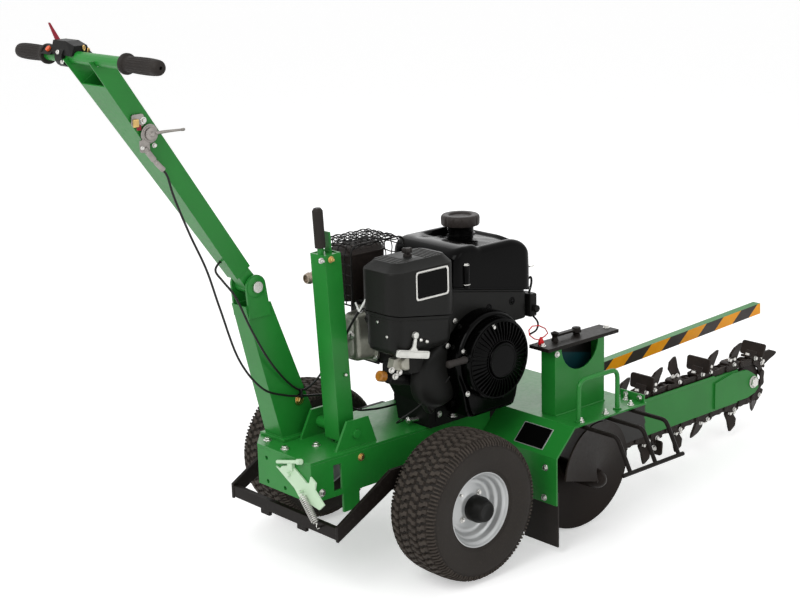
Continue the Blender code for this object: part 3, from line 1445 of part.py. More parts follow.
def chain_path(offset):
    """Points of the loop round head and tip, at an offset outside its inner line, with how far along each is."""
    head, tip = Vector((HEAD_X, HEAD_Z)), Vector((TIP_X, TIP_Z))
    span = (tip - head).length
    tilt = math.atan2(tip.y - head.y, tip.x - head.x)
    lean = math.asin((CHAIN_INSIDE - CHAIN_TIP_INSIDE) / span)
    points = []
    for centre, radius, start, end in (
        (tip, CHAIN_TIP_INSIDE + offset, tilt - math.pi / 2 + lean, tilt + math.pi / 2 - lean),
        (head, CHAIN_INSIDE + offset, tilt + math.pi / 2 - lean, tilt + 3 * math.pi / 2 + lean),
    ):
        for i in range(9):
            angle = start + (end - start) * i / 8
            points.append((centre.x + radius * math.cos(angle), centre.y + radius * math.sin(angle)))
    return points


def chain_runs():
    """How long the chain's outer line is on a straight run and round the tip, and its two angles."""
    head, tip = Vector((HEAD_X, HEAD_Z)), Vector((TIP_X, TIP_Z))
    span = (tip - head).length
    tilt = math.atan2(tip.y - head.y, tip.x - head.x)
    lean = math.asin((CHAIN_INSIDE - CHAIN_TIP_INSIDE) / span)
    run = math.sqrt(span**2 - (CHAIN_INSIDE - CHAIN_TIP_INSIDE) ** 2)
    up = tilt + math.pi / 2 - lean
    down = tilt - math.pi / 2 + lean
    turn = (up - down) * (CHAIN_TIP_INSIDE + CHAIN_THICK)
    return run, turn, up, down


def on_chain(distance):
    """A place on the chain's outer line: its x and z and the way out, from the head's top forwards."""
    head, tip = Vector((HEAD_X, HEAD_Z)), Vector((TIP_X, TIP_Z))
    tip_radius = CHAIN_TIP_INSIDE + CHAIN_THICK
    head_radius = CHAIN_INSIDE + CHAIN_THICK
    run, turn, up, down = chain_runs()
    if distance <= run:
        out = Vector((math.cos(up), math.sin(up)))
        start = head + out * head_radius
        return start + Vector((out.y, -out.x)) * distance, up
    if distance <= run + turn:
        angle = up - (distance - run) / tip_radius
        return tip + Vector((math.cos(angle), math.sin(angle))) * tip_radius, angle
    out = Vector((math.cos(down), math.sin(down)))
    start = tip + out * tip_radius
    return start + Vector((out.y, -out.x)) * (distance - run - turn), down


def chain_tool(distance, shape):
    """A cross scoop, or a tooth that leans forwards to the near or the far side."""
    point, angle = on_chain(distance)
    out = Vector((math.cos(angle), math.sin(angle)))
    ahead = Vector((out.y, -out.x))

    def place(forward, side, height):
        spot = point + ahead * forward + out * height
        return (spot.x, BOOM_Y + side, spot.y)

    if shape == "scoop":
        half = SCOOP_WIDTH / 2
        wide = [place(f, s, h) for f in (0, SCOOP_PLATE) for s in (-half, half) for h in (0.012, SCOOP_HEIGHT)]
        narrow = [place(f, s, h) for f in (-0.016, 0.012) for s in (-0.012, 0.012) for h in (-0.004, 0.018)]
        return [hull(wide), hull(narrow)]
    lean = TOOTH_SPREAD * (1 if shape == "far" else -1)
    half = TOOTH_WIDTH / 2
    root_points = [place(f, lean * 0.3 + s, -0.004) for f in (-0.020, 0.020) for s in (-half, half)]
    knee = [place(f, lean * 0.8 + s, TOOTH_HEIGHT * 0.5) for f in (0.0, 0.020) for s in (-half, half)]
    top = [place(f, lean + s, TOOTH_HEIGHT) for f in (0.022, 0.028) for s in (-half * 0.6, half * 0.6)]
    return [hull(root_points + knee), hull(knee + top)]


def digging():
    """The boom bar with its tip plates, the tip idler and the chain round them."""
    half = BOOM_WIDTH / 2
    rail = 0.0006
    top_line = chain_path(-rail)
    tip_low, tip_high = top_line[0], top_line[8]
    head_high, head_low = top_line[9], top_line[17]

    def on_rail(a, b, x):
        return (x, a[1] + (b[1] - a[1]) * (x - a[0]) / (b[0] - a[0]))

    outline = (
        on_rail(head_low, tip_low, BOOM_REAR_X),
        on_rail(head_low, tip_low, BOOM_FRONT_X),
        on_rail(head_high, tip_high, BOOM_FRONT_X),
        on_rail(head_high, tip_high, BOOM_REAR_X),
    )
    pieces = [prism(outline, "Y", BOOM_Y - half, BOOM_Y + half)]
    tip_outline = [(TIP_X + x, TIP_Z + z) for x, z in TIP_OUTLINE]
    for side in (-1, 1):
        face = BOOM_Y + side * half
        low, high = sorted((face - side * 0.001, face + side * TIP_PLATE))
        pieces.append(prism(tip_outline, "Y", low, high))
    mount = block(
        (BOOM_REAR_X + 0.005, BOOM_REAR_X + MOUNT_LENGTH - 0.005),
        (BOOM_Y + half - 0.005, BEARING_Y - PLATE / 2 - FIT),
        (HEAD_Z - 0.030, HEAD_Z + 0.025),
    )
    bolt_hole = rod((TIP_X, BOOM_Y - 0.05, TIP_Z), (TIP_X, BOOM_Y + 0.05, TIP_Z), TIP_BOLT + FIT)
    node(fused([*pieces, mount], [bolt_hole]), "boom_bar", GREEN)

    end = half + TIP_PLATE + FIT
    def on_bolt(y):
        return (TIP_X, BOOM_Y + y, TIP_Z)

    nut = 0.009
    disc = IDLER_WIDTH / 2
    idler = [
        rod(on_bolt(-end - nut + LOOSE), on_bolt(end + nut - LOOSE), TIP_BOLT),
        rod(on_bolt(-end - nut), on_bolt(-end), PIN_HEAD, 6),
        rod(on_bolt(end), on_bolt(end + nut), PIN_HEAD, 6),
        rod(on_bolt(-disc), on_bolt(disc), IDLER_RADIUS, WHEEL_ROUND),
    ]
    node(fused(idler), "tip_idler", STEEL, (TIP_X, BOOM_Y, TIP_Z))

    width = CHAIN_WIDTH / 2
    loop = prism(chain_path(CHAIN_THICK), "Y", BOOM_Y - width, BOOM_Y + width)
    hole = prism(chain_path(0), "Y", BOOM_Y - 2 * width, BOOM_Y + 2 * width)
    band = fused([loop], [hole])
    run, turn, _, _ = chain_runs()
    count = int((2 * run + turn - LAST_TOOL_ROOM - FIRST_TOOL) / TOOL_PITCH) + 1
    tools = []
    for i in range(count):
        tools += chain_tool(FIRST_TOOL + i * TOOL_PITCH, CHAIN_TOOLS[i % len(CHAIN_TOOLS)])
    node(fused([band, *tools]), "digging_chain", CHAIN_METAL, (HEAD_X, BOOM_Y, HEAD_Z))


def hazard_bar():
    """The striped angle bar behind the chain, on its pin."""
    face_y = HAZARD_Y
    x, z = HAZARD_PIVOT_X, HAZARD_PIVOT_Z
    top = z + 0.016
    length = HAZARD_LENGTH
    pieces = [
        block((x - 0.014, x + length), (face_y, face_y + HAZARD_PLATE), (top - HAZARD_FACE, top)),
        block((x + 0.024, x + length), (face_y, face_y + HAZARD_FLANGE), (top - HAZARD_PLATE, top)),
        rod((x, face_y - 0.004, z), (x, face_y + HAZARD_PLATE + PLATE + 0.006, z), HAZARD_PIN, 16),
        rod((x, face_y - 0.006, z), (x, face_y + 0.001, z), HAZARD_PIN + 0.004, 16),
    ]
    bar = leaned(fused(pieces), (x, face_y, z), -HAZARD_SLOPE)
    node(bar, "hazard_bar", GREEN, (x, face_y, z))


def engine_case():
    """Crankcase with its foot, cylinder and tank carrier, and the rocker cover."""
    low = DECK_TOP + FIT
    rear, front = CASE_REAR_X, CASE_FRONT_X
    outline = (
        (rear + 0.043, low),
        (front - 0.013, low),
        (front - 0.005, low + 0.030),
        (front, CASE_TOP - 0.040),
        (front - 0.023, CASE_TOP - FIT),
        (rear + 0.058, CASE_TOP - FIT),
        (rear + 0.002, CASE_TOP - 0.030),
        (rear, low + 0.120),
        (rear + 0.034, low + 0.060),
    )
    carrier_y = (COWL_FAR_Y + FIT, TANK_FAR_Y - 0.010)
    carrier_top = (TANK_REAR_X + 0.005, TANK_FRONT_X - 0.025)
    carrier = (
        (TANK_REAR_X - 0.005, CASE_TOP - 0.02),
        (CASE_FRONT_X - 0.005, CASE_TOP - 0.02),
        (carrier_top[1], tank_floor(carrier_top[1]) - FIT),
        (carrier_top[0], tank_floor(carrier_top[0]) - FIT),
    )
    head_outline = (
        (CYLINDER_REAR_X, CYLINDER_LOW + 0.025),
        (CYLINDER_REAR_X, CYLINDER_TOP - 0.008),
        (CYLINDER_FRONT_X, CYLINDER_TOP - 0.028),
        (CYLINDER_FRONT_X, CYLINDER_LOW),
    )
    head = hull_plate(head_outline, "Y", CYLINDER_NEAR_Y, CYLINDER_FAR_Y)
    head_cut = block((-0.2, 0.3), (-0.2, COWL_FAR_Y + FIT), (CASE_TOP - FIT, 0.8))
    neck = rod((OIL_ROOT_X, OIL_Y, OIL_ROOT_Z), (OIL_X, OIL_Y, OIL_Z), OIL_RADIUS)
    fins = []
    fin_y = (COWL_FAR_Y + FIT, CYLINDER_FAR_Y + LOOSE)
    for i in range(FIN_COUNT):
        x = CYLINDER_REAR_X + 0.008 + i * FIN_PITCH
        fins.append(block((x, x + FIN_THICK), fin_y, (CYLINDER_LOW + 0.010, CYLINDER_TOP)))
    trimmed_head = fused([head, *fins], [head_cut])
    corner = block((rear - 0.02, CASE_STEP_X), (CASE_STEP_Y, ENGINE_FAR_Y + 0.02), (low - 0.01, CASE_TOP + 0.01))
    case = fused([prism(outline, "Y", ENGINE_NEAR_Y, ENGINE_FAR_Y)], [corner])
    body = fused([case, prism(carrier, "Y", *carrier_y), trimmed_head, neck])
    node(body, "crankcase", BLACK_PAINT)

    front = CYLINDER_REAR_X - FIT
    rear = front - ROCKER_DEPTH
    corners = []
    for x, shrink in ((front, 0.0), (rear + 0.012, 0.004), (rear, 0.012)):
        for y_side in (ROCKER_NEAR_Y + shrink, ROCKER_FAR_Y - shrink):
            corners += [(x, y_side, ROCKER_LOW + 0.012 + shrink), (x, y_side, ROCKER_TOP - shrink)]
        corners += [(x, (ROCKER_NEAR_Y + ROCKER_FAR_Y) / 2, ROCKER_LOW + shrink)]
    node(hull(corners), "rocker_cover", ALLOY)


def tank_floor(x):
    """The height of the tank's sloping underside."""
    return slanted(x, TANK_FLOOR_REAR, TANK_FLOOR_FRONT, (TANK_REAR_X, TANK_FRONT_X))


def tank():
    """The fuel tank with its neck, the cowl below it and the cap."""
    outline = (
        (TANK_REAR_X, tank_floor(TANK_REAR_X)),
        (TANK_FRONT_X, tank_floor(TANK_FRONT_X)),
        (TANK_FRONT_X, TANK_TOP - 0.055),
        (TANK_FRONT_X - 0.012, TANK_TOP - 0.022),
        (TANK_FRONT_X - 0.045, TANK_TOP),
        (TANK_REAR_X + 0.052, TANK_TOP),
        (TANK_REAR_X + 0.026, TANK_TOP - 0.010),
        (TANK_REAR_X + 0.008, TANK_TOP - 0.026),
        (TANK_REAR_X, TANK_TOP - 0.046),
    )
    shell = prism(outline, "Y", TANK_NEAR_Y, TANK_FAR_Y)
    edge = shell.modifiers.new("edges", "BEVEL")
    edge.width = TANK_EDGE
    edge.segments = 3
    edge.limit_method = "ANGLE"
    edge.angle_limit = math.radians(60)
    shell = combined(shell, [], "UNION")
    neck = rod((CAP_X, CAP_Y, TANK_TOP - 0.01), (CAP_X, CAP_Y, CAP_LOW - FIT), NECK_OF_TANK, FINE)
    node(fused([shell, neck]), "fuel_tank", GLOSS_BLACK)

    profile = (
        (0, CAP_LOW),
        (CAP_RADIUS - 0.002, CAP_LOW),
        (CAP_RADIUS, CAP_LOW + 0.004),
        (CAP_RADIUS, CAP_TOP - 0.006),
        (CAP_RADIUS - 0.006, CAP_TOP),
        (0, CAP_TOP),
    )
    node(turned(profile, (CAP_X, CAP_Y, 0), (0, 0, 1), FINE), "fuel_cap", BLACK_PLASTIC, (CAP_X, CAP_Y, CAP_LOW))

    front = TANK_FRONT_X - 0.010
    rear = CLEANER_FRONT_X + 0.006
    cowl_outline = (
        (rear, CASE_TOP),
        (front, CASE_TOP),
        (front, tank_floor(front) - FIT),
        (TANK_REAR_X - 0.004, tank_floor(TANK_REAR_X - 0.004) - FIT),
        (rear, tank_floor(TANK_REAR_X) - 0.010),
    )
    cowl = prism(cowl_outline, "Y", COWL_NEAR_Y, COWL_FAR_Y)
    relief_ends = [(CRANK_X, y, HOUSING_Z) for y in (-0.3, ENGINE_NEAR_Y + LOOSE)]
    relief = rod(*relief_ends, HOUSING_RADIUS + LOOSE, WHEEL_ROUND)
    node(fused([cowl], [relief]), "cowl", BLACK_PLASTIC)


def starter():
    """Fan housing, recoil cover and the starter grip."""
    back = ENGINE_NEAR_Y - FIT
    outline = circle(CRANK_X, HOUSING_Z, HOUSING_RADIUS, WHEEL_ROUND)
    drum = prism(outline, "Y", HOUSING_FACE_Y, back)
    wide = HOUSING_FOOT + 0.010
    skirt = (
        (CRANK_X - wide, HOUSING_Z),
        (CRANK_X + wide, HOUSING_Z),
        (CRANK_X + HOUSING_FOOT, HOUSING_FOOT_Z),
        (CRANK_X - HOUSING_FOOT, HOUSING_FOOT_Z),
    )
    node(fused([drum, prism(skirt, "Y", HOUSING_FACE_Y + 0.004, back)]), "fan_housing", GLOSS_BLACK)

    face = HOUSING_FACE_Y - FIT
    profile = (
        (0, 0),
        (RECOIL_RADIUS, 0),
        (RECOIL_RADIUS, RECOIL_DEPTH - 0.010),
        (RECOIL_RADIUS - 0.012, RECOIL_DEPTH),
        (0.040, RECOIL_DEPTH),
        (0.036, RECOIL_DEPTH + 0.004),
        (0, RECOIL_DEPTH + 0.004),
    )
    cover = turned(profile, (CRANK_X, face, HOUSING_Z), (0, -1, 0), WHEEL_ROUND)
    guide_y = face - 0.012
    guide_end = ROPE_GRIP_X[1] + FIT
    guide_ends = [(x, guide_y, ROPE_Z) for x in (guide_end, CRANK_X - 0.05)]
    guide = rod(*guide_ends, ROPE_GRIP_RADIUS - 0.0005, 16)
    node(fused([cover, guide]), "recoil_cover", BLACK_PLASTIC)

    start = (ROPE_GRIP_X[0], guide_y, ROPE_Z)
    length = ROPE_GRIP_X[1] - ROPE_GRIP_X[0]
    radius = ROPE_GRIP_RADIUS
    waist = radius - 0.0015
    profile = ((0, 0), (radius - 0.002, 0), (radius, 0.006), (waist, length / 2), (waist, length), (0, length))
    node(turned(profile, start, (1, 0, 0), 16), "starter_grip", BLACK_PLASTIC, start)


def net_gaps(low, high, count):
    """The gaps between evenly set wires that span from low to high."""
    step = (high - low - NET_WIRE) / count
    return [(low + NET_WIRE + i * step, low + (i + 1) * step) for i in range(count)]


def net_plate(axis, level, first, second):
    """A flat net across an axis, one wire thick from its level, with gaps along its two other axes."""
    spans = [(gaps[0][0] - NET_WIRE, gaps[-1][1] + NET_WIRE) for gaps in (first, second)]
    order = {"X": (2, 0, 1), "Y": (0, 2, 1), "Z": (0, 1, 2)}[axis]

    def box(a, b, c):
        sides = (a, b, c)
        return block(*(sides[i] for i in order))

    plate = box(*spans, (level, level + NET_WIRE))
    cuts = [box(a, b, (level - NET_WIRE, level + 2 * NET_WIRE)) for a in first for b in second]
    return fused([plate], cuts)


def exhaust():
    """The muffler with its outlet, and the wire guard over it, at its ends and on its far side."""
    x = (MUFFLER_REAR_X, MUFFLER_FRONT_X)
    y = (MUFFLER_NEAR_Y, MUFFLER_FAR_Y)
    z = (MUFFLER_LOW, MUFFLER_TOP)
    trim = MUFFLER_TRIM
    outline = (
        (y[0], z[0] + trim),
        (y[0] + trim, z[0]),
        (y[1] - trim, z[0]),
        (y[1], z[0] + trim),
        (y[1], z[1] - trim),
        (y[1] - trim, z[1]),
        (y[0] + trim, z[1]),
        (y[0], z[1] - trim),
    )
    step = NET_STEP
    gaps_x = net_gaps(NET_REAR_X + step, NET_FRONT_X - step, NET_LENGTHS)
    gaps_y = net_gaps(NET_NEAR_Y, NET_FAR_Y - step, NET_COLUMNS)
    gaps_z = net_gaps(NET_LOW, NET_TOP - step, NET_ROWS)
    out_y = sum(gaps_y[-1]) / 2
    out_z = sum(gaps_z[1]) / 2
    out_x = NET_REAR_X - EXHAUST_OUT
    middle = gaps_y[NET_COLUMNS // 2][0] - NET_WIRE / 2
    pieces = [prism(outline, "X", *x), rod((x[0] + 0.005, out_y, out_z), (out_x, out_y, out_z), EXHAUST_RADIUS)]
    for post_x in (x[0] + 0.020, x[1] - 0.020):
        post_top = NET_TOP - NET_WIRE - FIT
        pieces.append(rod((post_x, middle, z[1] - 0.005), (post_x, middle, post_top), 0.005, 10))
    bore_ends = [(out_x + ahead, out_y, out_z) for ahead in (-0.01, 0.03)]
    bore = rod(*bore_ends, EXHAUST_RADIUS - EXHAUST_WALL)
    node(fused(pieces, [bore]), "muffler", BLACK_PAINT)

    plates = [
        net_plate("Z", NET_TOP - NET_WIRE, gaps_x, net_gaps(NET_NEAR_Y + step, NET_FAR_Y - step, NET_COLUMNS)),
        net_plate("X", NET_REAR_X, gaps_y, gaps_z),
        net_plate("X", NET_FRONT_X - NET_WIRE, gaps_y, gaps_z),
        net_plate("Y", NET_FAR_Y - NET_WIRE, gaps_x, gaps_z),
    ]
    node(fused(plates), "muffler_guard", BLACK_PAINT)


def rounded_ring(x, y, radius, steps=3):
    """A level rectangle with rounded corners, as x and y."""
    points = []
    for i in range(4):
        middle_x = x[1] - radius if i in (0, 3) else x[0] + radius
        middle_y = y[1] - radius if i in (0, 1) else y[0] + radius
        for angle in arc(90 * i, 90 * (i + 1), steps):
            points.append((middle_x + radius * math.cos(angle), middle_y + radius * math.sin(angle)))
    return points


def cleaner_seam(x):
    """The height of the sloping seam between the air cleaner's base and its cover."""
    return slanted(x, CLEANER_SEAM_REAR, CLEANER_SEAM_FRONT, (CLEANER_REAR_X, CLEANER_FRONT_X))


def air_cleaner():
    """The air cleaner's base, cover and knob."""
    x = (CLEANER_REAR_X, CLEANER_FRONT_X)
    y = (CLEANER_NEAR_Y, CLEANER_FAR_Y)
    inset = CLEANER_INSET
    low_ring = rounded_ring((x[0] + inset, x[1] - inset), (y[0] + inset, y[1] - inset), CLEANER_CORNER - inset)
    points = [(px, py, CLEANER_LOW) for px, py in low_ring]
    points += [(px, py, cleaner_seam(px)) for px, py in low_ring]
    throat_y = (THROAT_NEAR_Y, y[1] - 0.010)
    throat_z = (CLEANER_LOW - THROAT_DROP, CLEANER_LOW + 0.010)
    throat = block((THROAT_REAR_X, THROAT_FRONT_X), throat_y, throat_z)
    room = block((-0.2, 0.2), (ENGINE_NEAR_Y - FIT, 0.1), (0.3, CLEANER_LOW - FIT))
    node(fused([hull(points), throat], [room]), "air_cleaner_base", BLACK_PLASTIC)

    ring = rounded_ring(x, y, CLEANER_CORNER)
    crown_x = (x[0] + 0.030, x[1] - 0.008)
    crown_y = (y[0] + 0.024, y[1] - 0.008)
    points = [(px, py, cleaner_seam(px) + FIT) for px, py in ring]
    points += [(px, py, CLEANER_TOP - CLEANER_CROWN) for px, py in ring]
    points += [(px, py, CLEANER_TOP) for px, py in rounded_ring(crown_x, crown_y, CLEANER_CORNER / 2)]
    node(hull(points), "air_cleaner_cover", BLACK_PLASTIC)

    profile = (
        (0, 0),
        (0.006, 0),
        (0.006, 0.004),
        (KNOB_RADIUS, 0.006),
        (KNOB_RADIUS, 0.014),
        (KNOB_RADIUS - 0.004, 0.018),
        (0, 0.018),
    )
    knob_base = (KNOB_X, KNOB_Y, CLEANER_TOP + FIT)
    node(turned(profile, knob_base, (0, 0, 1), 12), "air_cleaner_knob", BLACK_PLASTIC, knob_base)


def choke():
    """The choke lever with its wide handle, hung on the near face of the air cleaner's base."""
    face = CLEANER_NEAR_Y + CLEANER_INSET - FIT
    pivot = (CHOKE_X, face, CHOKE_Z)
    bar_z = CHOKE_Z - CHOKE_DROP
    hub = rod((CHOKE_X, face - 0.008, CHOKE_Z), pivot, 0.008, 12)
    outline = circle(CHOKE_X, CHOKE_Z, 0.005, 8) + circle(CHOKE_X, bar_z + 0.004, 0.004, 8)
    stem = hull_plate(outline, "Y", face - 0.0065, face - 0.003)
    reach = CHOKE_HANDLE / 2 - CHOKE_BAR
    outline = circle(CHOKE_X - reach, bar_z, CHOKE_BAR, 12) + circle(CHOKE_X + reach, bar_z, CHOKE_BAR, 12)
    bar = hull_plate(outline, "Y", face - 0.002 - CHOKE_PLATE, face - 0.002)
    lever = leaned(fused([hub, stem, bar]), pivot, CHOKE_TILT)
    node(lever, "choke_lever", STEEL, pivot)


def oil_plug():
    """The filler plug screwed on the crankcase's neck."""
    way = (Vector((OIL_X, OIL_Y, OIL_Z)) - Vector((OIL_ROOT_X, OIL_Y, OIL_ROOT_Z))).normalized()
    start = Vector((OIL_X, OIL_Y, OIL_Z)) + way * FIT
    profile = (
        (0, 0),
        (OIL_RADIUS + 0.002, 0),
        (OIL_RADIUS + 0.002, 0.010),
        (OIL_RADIUS - 0.001, 0.014),
        (OIL_RADIUS - 0.001, OIL_LENGTH),
        (0, OIL_LENGTH),
    )
    node(turned(profile, start, way, 12), "oil_plug", AMBER, tuple(start))


for wheel_side, wheel_label in ((-1, "near"), (1, "far")):
    wheel(wheel_side, wheel_label)
carriage()
deck()
chassis()
wing()
tower()
grab_handle()
guard_bars()
lower_column()
handle()
controls()
throttle()
cables()
post_lever()
latch()
drive()
digging()
hazard_bar()
engine_case()
tank()
starter()
exhaust()
air_cleaner()
choke()
oil_plug()
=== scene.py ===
"""The looks of the walk-behind trencher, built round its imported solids.

Shapes are made on BENCH in the machine's own frame, in millimetres: x runs forwards from the wheel axle, y
from the near side to the far side with 0 midway between the wheels, and z up from the ground. The function
piece turns what lies on the bench into metres and moves it to where the axle stands."""

import math

import bmesh
import bpy
from mathutils import Matrix, Vector


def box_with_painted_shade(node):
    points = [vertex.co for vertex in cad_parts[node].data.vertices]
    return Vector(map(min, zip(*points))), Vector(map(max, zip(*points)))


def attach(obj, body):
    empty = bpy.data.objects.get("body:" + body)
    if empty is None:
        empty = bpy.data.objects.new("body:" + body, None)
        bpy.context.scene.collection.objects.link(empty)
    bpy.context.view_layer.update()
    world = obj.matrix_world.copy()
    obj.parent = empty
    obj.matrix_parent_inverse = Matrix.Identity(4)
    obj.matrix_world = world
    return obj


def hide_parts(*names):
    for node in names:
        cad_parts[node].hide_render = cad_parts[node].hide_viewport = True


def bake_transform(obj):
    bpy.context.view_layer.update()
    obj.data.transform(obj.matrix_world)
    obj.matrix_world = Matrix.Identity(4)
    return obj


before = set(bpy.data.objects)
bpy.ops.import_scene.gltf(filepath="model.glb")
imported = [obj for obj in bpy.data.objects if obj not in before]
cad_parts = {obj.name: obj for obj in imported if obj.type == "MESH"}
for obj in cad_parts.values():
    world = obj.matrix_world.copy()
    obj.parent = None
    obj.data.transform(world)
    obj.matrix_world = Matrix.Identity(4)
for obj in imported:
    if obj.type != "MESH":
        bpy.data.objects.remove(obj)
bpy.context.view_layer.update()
AXLE_LOW, AXLE_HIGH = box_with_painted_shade("axle")
ORIGIN = Vector(((AXLE_LOW.x + AXLE_HIGH.x) / 2, (AXLE_LOW.y + AXLE_HIGH.y) / 2, 0))

WHITE_FLOOR = (0.9, 0.9, 0.9)
FLOOR_GLOW = 0.42

# Wheels
TYRE_RADIUS = 165
TYRE_HALF = 69
WHEEL_Y = 264
LUGS_ROUND = 58
LUG_DEEP = 6
LUG_COLUMNS = (-40.5, -13.5, 13.5, 40.5)

# Chain and boom
HEAD = Vector((365, 140))
TIP = Vector((1212, 137))
HEAD_INSIDE = 52
TIP_INSIDE = 46
CHAIN_THICK = 16
TIP_OUTSIDE = TIP_INSIDE + CHAIN_THICK
HEAD_OUTSIDE = HEAD_INSIDE + CHAIN_THICK
LINK_PITCH = 30
BOOM_Y = -100
TOOL_PITCH = 112.5
FIRST_TOOL = 302.5
TOOTH_SHIFT = 20
SCOOP_TOOTH_SHIFT = 34
TOOTH_LEAN = 20
BRACKET_HALF = 16.5
CHAIN_TOOLS = "nsfsnsfnfnsfns"

# Handle and cables
BAR_X, BAR_Z = -651.4, 1170.2
THROTTLE_SPOT = (-547, 1015, 43.1)
THROTTLE_ROUTE = ((-518.7, 40, 935.5), (-511, 40, 923), (-500, 38, 880), (-469, 36, 799), (-434, 34, 718),
    (-405, 34, 628), (-364, 34, 510), (-303, 40, 431), (-234, 48, 397), (-174, 50, 382), (-121, 46, 372),
    (-83, 40, 350), (-45, 36, 322), (-4, 30, 314), (30, 24, 312.5), (75, 22, 312.5), (124, 22, 312.5))
STOP_ROUTE = ((-338, 86, 730.3), (-353, 86, 720), (-370, 86, 708.3), (-379, 80, 696), (-372, 64, 676),
    (-352, 50, 640), (-318, 46, 562), (-271, 48, 481), (-217, 53.5, 418), (-179, 57.5, 395),
    (-149, 52, 408), (-122, 44, 440), (-98, 38, 482), (-70, 36, 507), (-53, 36, 518), (-41, 36, 518))
SIDE_BOLT = (-260, 216.3)
GOLD_BOLT = (-148, 269)
PLATE_CORNERS = ((260.5, -200.5, 275.5), (260.5, -290.5, 275.5), (222.2, -290.5, 237.2),
    (222.2, -200.5, 237.2))

# Engine
CRANK_X = 165
HOUSING_Z = 447
HOUSING_RADIUS = 105
TANK_TOP = 700
NET_BEND = 22
NET_CELL = 18.5
COVER_LOW, COVER_HIGH = (-118, -190), (66, -72)
CROWN_LOW, CROWN_HIGH = (-88, -166), (58, -80)
TANK_LOW, TANK_HIGH = (80, -160), (335, 52)
CAP_X, CAP_Y = 256, 0


def node_tree(name):
    made = bpy.data.materials.new(name)
    made.use_nodes = True
    return made, made.node_tree


def joined(tree, kind, **inputs):
    """A new node with its sockets set, or linked where the value is another node's socket.

    i0 is the first socket, and a name that starts with _ is one of the node's own settings."""
    made = tree.nodes.new(kind)
    for name, value in inputs.items():
        if name.startswith("_"):
            setattr(made, name[1:], value)
            continue
        numbered = name[0] == "i" and name[1:].isdigit()
        socket = made.inputs[int(name[1:]) if numbered else name.replace("_", " ")]
        if isinstance(value, bpy.types.NodeSocket):
            tree.links.new(value, socket)
        else:
            socket.default_value = value
    return made


def maths(tree, operation, *values):
    inputs = {f"i{place}": value for place, value in enumerate(values)}
    return joined(tree, "ShaderNodeMath", _operation=operation, **inputs).outputs[0]


def noise(tree, place, scale, detail=3.0, rough=0.5):
    made = joined(tree, "ShaderNodeTexNoise", Vector=place, Scale=scale, Detail=detail, Roughness=rough)
    return made.outputs["Fac"]


def ranged(tree, value, low, high, to_low=0.0, to_high=1.0):
    made = joined(tree, "ShaderNodeMapRange", i0=value, i1=low, i2=high, i3=to_low, i4=to_high)
    return made.outputs["Result"]


def mixed(tree, share, first, second):
    inputs = {"i0": share}
    for name, value in (("i6", first), ("i7", second)):
        inputs[name] = value if isinstance(value, bpy.types.NodeSocket) else (*value, 1)
    return joined(tree, "ShaderNodeMix", _data_type="RGBA", **inputs).outputs[2]


def finish_look(name, color, roughness, metallic=0.0, vary=0.1, patch=9.0, rough_vary=0.06, grain=0.0,
        grain_scale=900.0, waves=0.0, wave_scale=60.0, edge=0.0012, worn=None, worn_share=0.6, dust=None,
        dust_share=0.25, coat=0.0, specular=0.5):
    """A finish with patches of tone, uneven gloss, fine relief, eased edges, lighter edges and dust. The
    lighter edges are edge wear, and on the green paints a painted highlight.
    """
    made, tree = node_tree(name)
    shader = tree.nodes["Principled BSDF"]
    place = joined(tree, "ShaderNodeTexCoord").outputs["Object"]
    dark, light = (tuple(channel * share for channel in color) for share in (1 - vary, 1 + vary))
    tone = mixed(tree, ranged(tree, noise(tree, place, patch, 4.0), 0.3, 0.7), dark, light)
    fine = noise(tree, place, patch * 14, 5.0, 0.6)
    if dust:
        tone = mixed(tree, ranged(tree, fine, 0.52, 0.78, 0.0, dust_share), tone, dust)
    normal = None
    if edge:
        normal = joined(tree, "ShaderNodeBevel", _samples=4, Radius=edge).outputs["Normal"]
    # Lighter colour along the edges, broken up by noise: edge wear, and on the green paints a painted
    # highlight where lit rounded edges catch the light.
    if edge and worn:
        flat = joined(tree, "ShaderNodeNewGeometry").outputs["Normal"]
        product = joined(tree, "ShaderNodeVectorMath", _operation="DOT_PRODUCT", i0=normal, i1=flat)
        turned_away = ranged(tree, product.outputs["Value"], 0.995, 0.9)
        broken = maths(tree, "MULTIPLY", turned_away, ranged(tree, fine, 0.35, 0.65, 0.2, 1.0))
        tone = mixed(tree, maths(tree, "MULTIPLY", broken, worn_share), tone, worn)
    tree.links.new(tone, shader.inputs["Base Color"])
    uneven = ranged(tree, fine, 0.3, 0.7, roughness - rough_vary, roughness + rough_vary)
    tree.links.new(uneven, shader.inputs["Roughness"])
    shader.inputs["Metallic"].default_value = metallic
    shader.inputs["Specular IOR Level"].default_value = specular
    shader.inputs["Coat Weight"].default_value = coat
    shader.inputs["Coat Roughness"].default_value = 0.08
    for depth, scale, detail in ((waves, wave_scale, 2.0), (grain, grain_scale, 3.0)):
        if depth:
            relief = {"Height": noise(tree, place, scale, detail)} | ({"Normal": normal} if normal else {})
            normal = joined(tree, "ShaderNodeBump", Strength=1.0, Distance=depth,
                **relief).outputs["Normal"]
    if normal:
        tree.links.new(normal, shader.inputs["Normal"])
    return made


GREEN = (0.014, 0.205, 0.026)
# Painted highlight: a paler green laid along the edges of the green paints, where lit rounded edges catch
# the light.
GREEN_EDGE_HIGHLIGHT = (0.1, 0.42, 0.12)


def base_of(made):
    """What another colour is laid on with: a finish's tree, its own colour, a place and its three axes."""
    tree = made.node_tree
    place = joined(tree, "ShaderNodeTexCoord").outputs["Object"]
    source = tree.nodes["Principled BSDF"].inputs["Base Color"].links[0].from_socket
    return tree, source, place, joined(tree, "ShaderNodeSeparateXYZ", i0=place).outputs


def over(made, share, first, second):
    tree = made.node_tree
    tree.links.new(mixed(tree, share, first, second), tree.nodes["Principled BSDF"].inputs["Base Color"])
    return made


